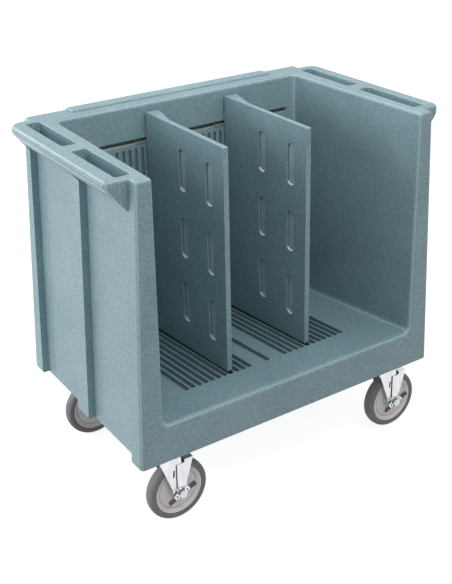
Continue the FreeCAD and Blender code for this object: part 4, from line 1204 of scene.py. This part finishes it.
    def make_pads(self) -> None:
        """Makes the two ribbed rubber pads on the lever's ends."""
        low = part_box(self.node("brake_pads"))[0].y
        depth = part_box(self.node("brake_lever"))[0].y - low
        base = self.pad_base * depth
        matrix = self.lever_frame()
        piece = Piece(self.node("ribbed_pads"), PAD_RUBBER, self.node("brake_rocker"))
        for middle in self.pad_places:
            spot = matrix @ Matrix.Translation((middle, -base / 2, self.pad_rise))
            piece.block((self.pad[0], base, self.pad[1]), spot, self.pad_soft)
            for i in range(self.ribs):
                along = middle + self.rib_pitch * (i - (self.ribs - 1) / 2)
                spot = matrix @ Matrix.Translation((along, -depth / 2, self.pad_rise))
                piece.block((self.rib[0], depth, self.rib[1]), spot, self.rib_soft, 1)
        piece.place(self.node("brake_pads"))

    def make_fork_marks(self) -> None:
        """Makes the painted shade in the fork's pressed slot and the painted shadow in the gap beside the
        brake arm.
        """
        face = self.axle.y - self.fork_half
        piece = Piece(self.node("fork_marks"), SHADE_MARK_FINISH, self.node("swivel"))
        # Painted shade in the pressed slot, then the painted shadow along the brake arm's edge.
        spot = Matrix.Translation((self.axle.x + self.slot_place[0], face, self.axle.z + self.slot_place[1]))
        lean = Matrix.Rotation(math.radians(self.slot_lean), 4, "Y")
        piece.block((self.slot[0], self.mark, self.slot[1]), spot @ lean, self.slot_soft, 1)
        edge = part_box(self.node("brake_arm"))[0].x + self.gap_shadow_inset
        foot, top = self.gap_shadow_ends
        spot = Matrix.Translation((edge, face - self.gap_shadow_out, self.axle.z + (top + foot) / 2))
        piece.block((*self.joint, top - foot), spot, self.gap_shadow_soft, 1)
        piece.place()

    def dress(self) -> None:
        """Gives the caster's solids their finishes, and the pressed steel soft edges."""
        finishes = {"caster_plate": ZINC, "kingpin": FASTENER, "fork": ZINC, "axle": FASTENER,
                    "axle_nut": FASTENER, "axle_bush": BUSH_PLASTIC, "wheel": WHEEL_PLASTIC,
                    "tyre": TYRE_RUBBER}
        if self.corner.braked:
            finishes |= {"brake_arm": ZINC, "brake_shoe": SHOE_RUBBER, "brake_lever": ZINC,
                         "brake_pads": PAD_RUBBER}
        for part, finish in finishes.items():
            turned = finish.pattern is Pattern.TURNED
            piece = self.finish_node(self.node(part), finish, self.axle if turned else None,
                                     self.corner.value if turned else "")
            if part in ("fork", "brake_arm"):
                soft = piece.modifiers.new("soft_edges", "BEVEL")
                soft.width = self.soft
                soft.segments = 2
                soft.limit_method = "ANGLE"
                soft.angle_limit = math.radians(self.soft_angle)


@dataclass(frozen=True)
class PhotoCamera:
    """Camera at the photograph's place.

    Attributes:
        eye: Place of the camera in metres.
        target: Point on the optical axis.
        focal: Focal length in pixels.
        centre: Optical centre in pixels.
        roll: Turn about the optical axis in radians.
        size: Width and height of the picture in pixels.
        sensor: Width of the sensor in millimetres.
        sight: Distance up to which it sees, in metres.
    """

    eye: Point = (-1.3343, -2.0185, 1.6448)
    target: Point = (0.2883, 0.4411, 0.4784)
    focal: float = 1032.4
    centre: Span = (226.36, 198.57)
    roll: float = -0.02
    size: tuple[int, int] = (452, 584)
    sensor: float = 36.0
    sight: float = 50.0

    def build(self) -> None:
        """Makes the camera and sets it as the scene's."""
        data = bpy.data.cameras.new("photo_camera")
        longest = max(self.size)
        data.sensor_width = self.sensor
        data.lens = self.focal / longest * self.sensor
        data.shift_x = (self.size[0] / 2 - self.centre[0]) / longest
        data.shift_y = (self.centre[1] - self.size[1] / 2) / longest
        data.clip_end = self.sight
        camera = bpy.data.objects.new("photo_camera", data)
        bpy.context.scene.collection.objects.link(camera)
        eye = Vector(self.eye)
        forward = (Vector(self.target) - eye).normalized()
        right = forward.cross(Vector((0.0, 0.0, 1.0))).normalized()
        up = right.cross(forward)
        turned = right * math.cos(self.roll) + up * math.sin(self.roll)
        above = up * math.cos(self.roll) - right * math.sin(self.roll)
        axes = Matrix((turned, above, -forward)).transposed().to_4x4()
        camera.matrix_world = Matrix.Translation(eye) @ axes
        bpy.context.scene.camera = camera


@dataclass(frozen=True)
class SoftBox:
    """A square studio lamp.

    Attributes:
        name: Name of the lamp.
        place: Where it stands, in metres.
        target: Point that it faces.
        size: Length of its sides in metres.
        power: Power in watts.
    """

    name: str
    place: Point
    target: Point
    size: float
    power: float

    def build(self) -> None:
        """Makes the lamp."""
        data = bpy.data.lights.new(self.name, "AREA")
        data.shape = "SQUARE"
        data.size = self.size
        data.energy = self.power
        lamp = bpy.data.objects.new(self.name, data)
        bpy.context.scene.collection.objects.link(lamp)
        lamp.location = Vector(self.place)
        aim = Vector(self.target) - Vector(self.place)
        lamp.rotation_euler = aim.to_track_quat("-Z", "Y").to_euler()


@dataclass
class Studio:
    """Floor, lamps and camera.

    Attributes:
        lamps: The lamps.
        camera: The camera.
        sky: Strength of the even light from all sides.
        floor_half: Half the floor's length in metres.
        floor_grey: Grey of the floor under the lamps.
        floor_glow: Light that makes up for the rest of white where the floor shows.
    """

    lamps: Sequence[SoftBox] = (
        SoftBox("left_lamp", (-2.9, 0.9, 0.75), (0.0, 0.0, 0.55), 1.4, 20.0),
        SoftBox("high_left_lamp", (-2.6, 0.2, 1.75), (0.0, 0.0, 0.7), 0.9, 11.0),
        SoftBox("back_lamp", (-1.6, 2.6, 1.6), (0.0, 0.0, 0.6), 1.4, 33.0),
        SoftBox("top_lamp", (0.1, -0.1, 1.9), (0.1, 0.0, 0.5), 1.4, 8.5),
        SoftBox("front_lamp", (-0.2, -2.4, 3.1), (0.0, 0.1, 0.6), 1.4, 21.0),
    )
    camera: PhotoCamera = field(default_factory=PhotoCamera)
    sky: float = 0.45
    floor_half: float = 8.0
    floor_grey: float = 0.42
    floor_glow: float = 0.84

    def build(self) -> None:
        """Makes the floor, the lamps, the world and the camera."""
        bpy.context.scene.view_settings.view_transform = "Standard"
        self.make_world()
        self.make_floor()
        for lamp in self.lamps:
            lamp.build()
        self.camera.build()

    @staticmethod
    def seen_directly(nodes: NodeGroup) -> Socket:
        """Adds a mask of rays that show the background itself.

        Args:
            nodes: Tree to fill.

        Returns:
            Socket that is one for camera, glossy and transmission rays.
        """
        path = nodes.add("ShaderNodeLightPath").outputs
        shown = nodes.maths("MAXIMUM", path["Is Camera Ray"], path["Is Glossy Ray"])
        return nodes.maths("MAXIMUM", shown, path["Is Transmission Ray"])

    def make_world(self) -> None:
        """Makes the even light and the white background."""
        world = bpy.data.worlds.new("studio_world")
        world.use_nodes = True
        bpy.context.scene.world = world
        nodes = NodeGroup(world.node_tree)
        shade = world.node_tree.nodes["Background"]
        shade.inputs["Color"].default_value = WHITE
        strength = nodes.add("ShaderNodeMapRange")
        strength.inputs["To Min"].default_value = self.sky
        strength.inputs["To Max"].default_value = 1.0
        nodes.link(self.seen_directly(nodes), strength.inputs["Value"])
        nodes.link(strength.outputs["Result"], shade.inputs["Strength"])

    def make_floor(self) -> None:
        """Makes the pale floor, which shows white with a soft shadow."""
        mesh = bpy.data.meshes.new("studio_floor")
        shape = bmesh.new()
        bmesh.ops.create_grid(shape, x_segments=1, y_segments=1, size=self.floor_half)
        shape.to_mesh(mesh)
        shape.free()
        ground = bpy.data.objects.new("studio_floor", mesh)
        bpy.context.scene.collection.objects.link(ground)
        material = bpy.data.materials.new("studio_floor")
        material.use_nodes = True
        nodes = NodeGroup(material.node_tree)
        shader = material.node_tree.nodes["Principled BSDF"].inputs
        shader["Base Color"].default_value = (self.floor_grey, self.floor_grey, self.floor_grey, 1.0)
        shader["Roughness"].default_value = 1.0
        shader["Specular IOR Level"].default_value = 0.0
        shader["Emission Color"].default_value = WHITE
        nodes.link(nodes.product(self.seen_directly(nodes), self.floor_glow), shader["Emission Strength"])
        ground.data.materials.append(material)


@dataclass
class DishCart:
    """The whole object.

    Attributes:
        parts: Its sub-assemblies.
    """

    parts: list[SubAssembly] = field(default_factory=list)

    def __post_init__(self) -> None:
        """Lists the sub-assemblies."""
        self.parts = [CartShell(), *(DividerUnit(side) for side in Side),
                      *(Caster(corner) for corner in Corner)]

    def build(self) -> None:
        """Builds and dresses every sub-assembly."""
        for part in self.parts:
            log.info("building %s", part.title)
            part.build()
            part.dress()


def main() -> None:
    """Builds the dressed cart in its studio."""
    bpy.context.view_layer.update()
    DishCart().build()
    Studio().build()


if __name__ == "__main__":
    main()
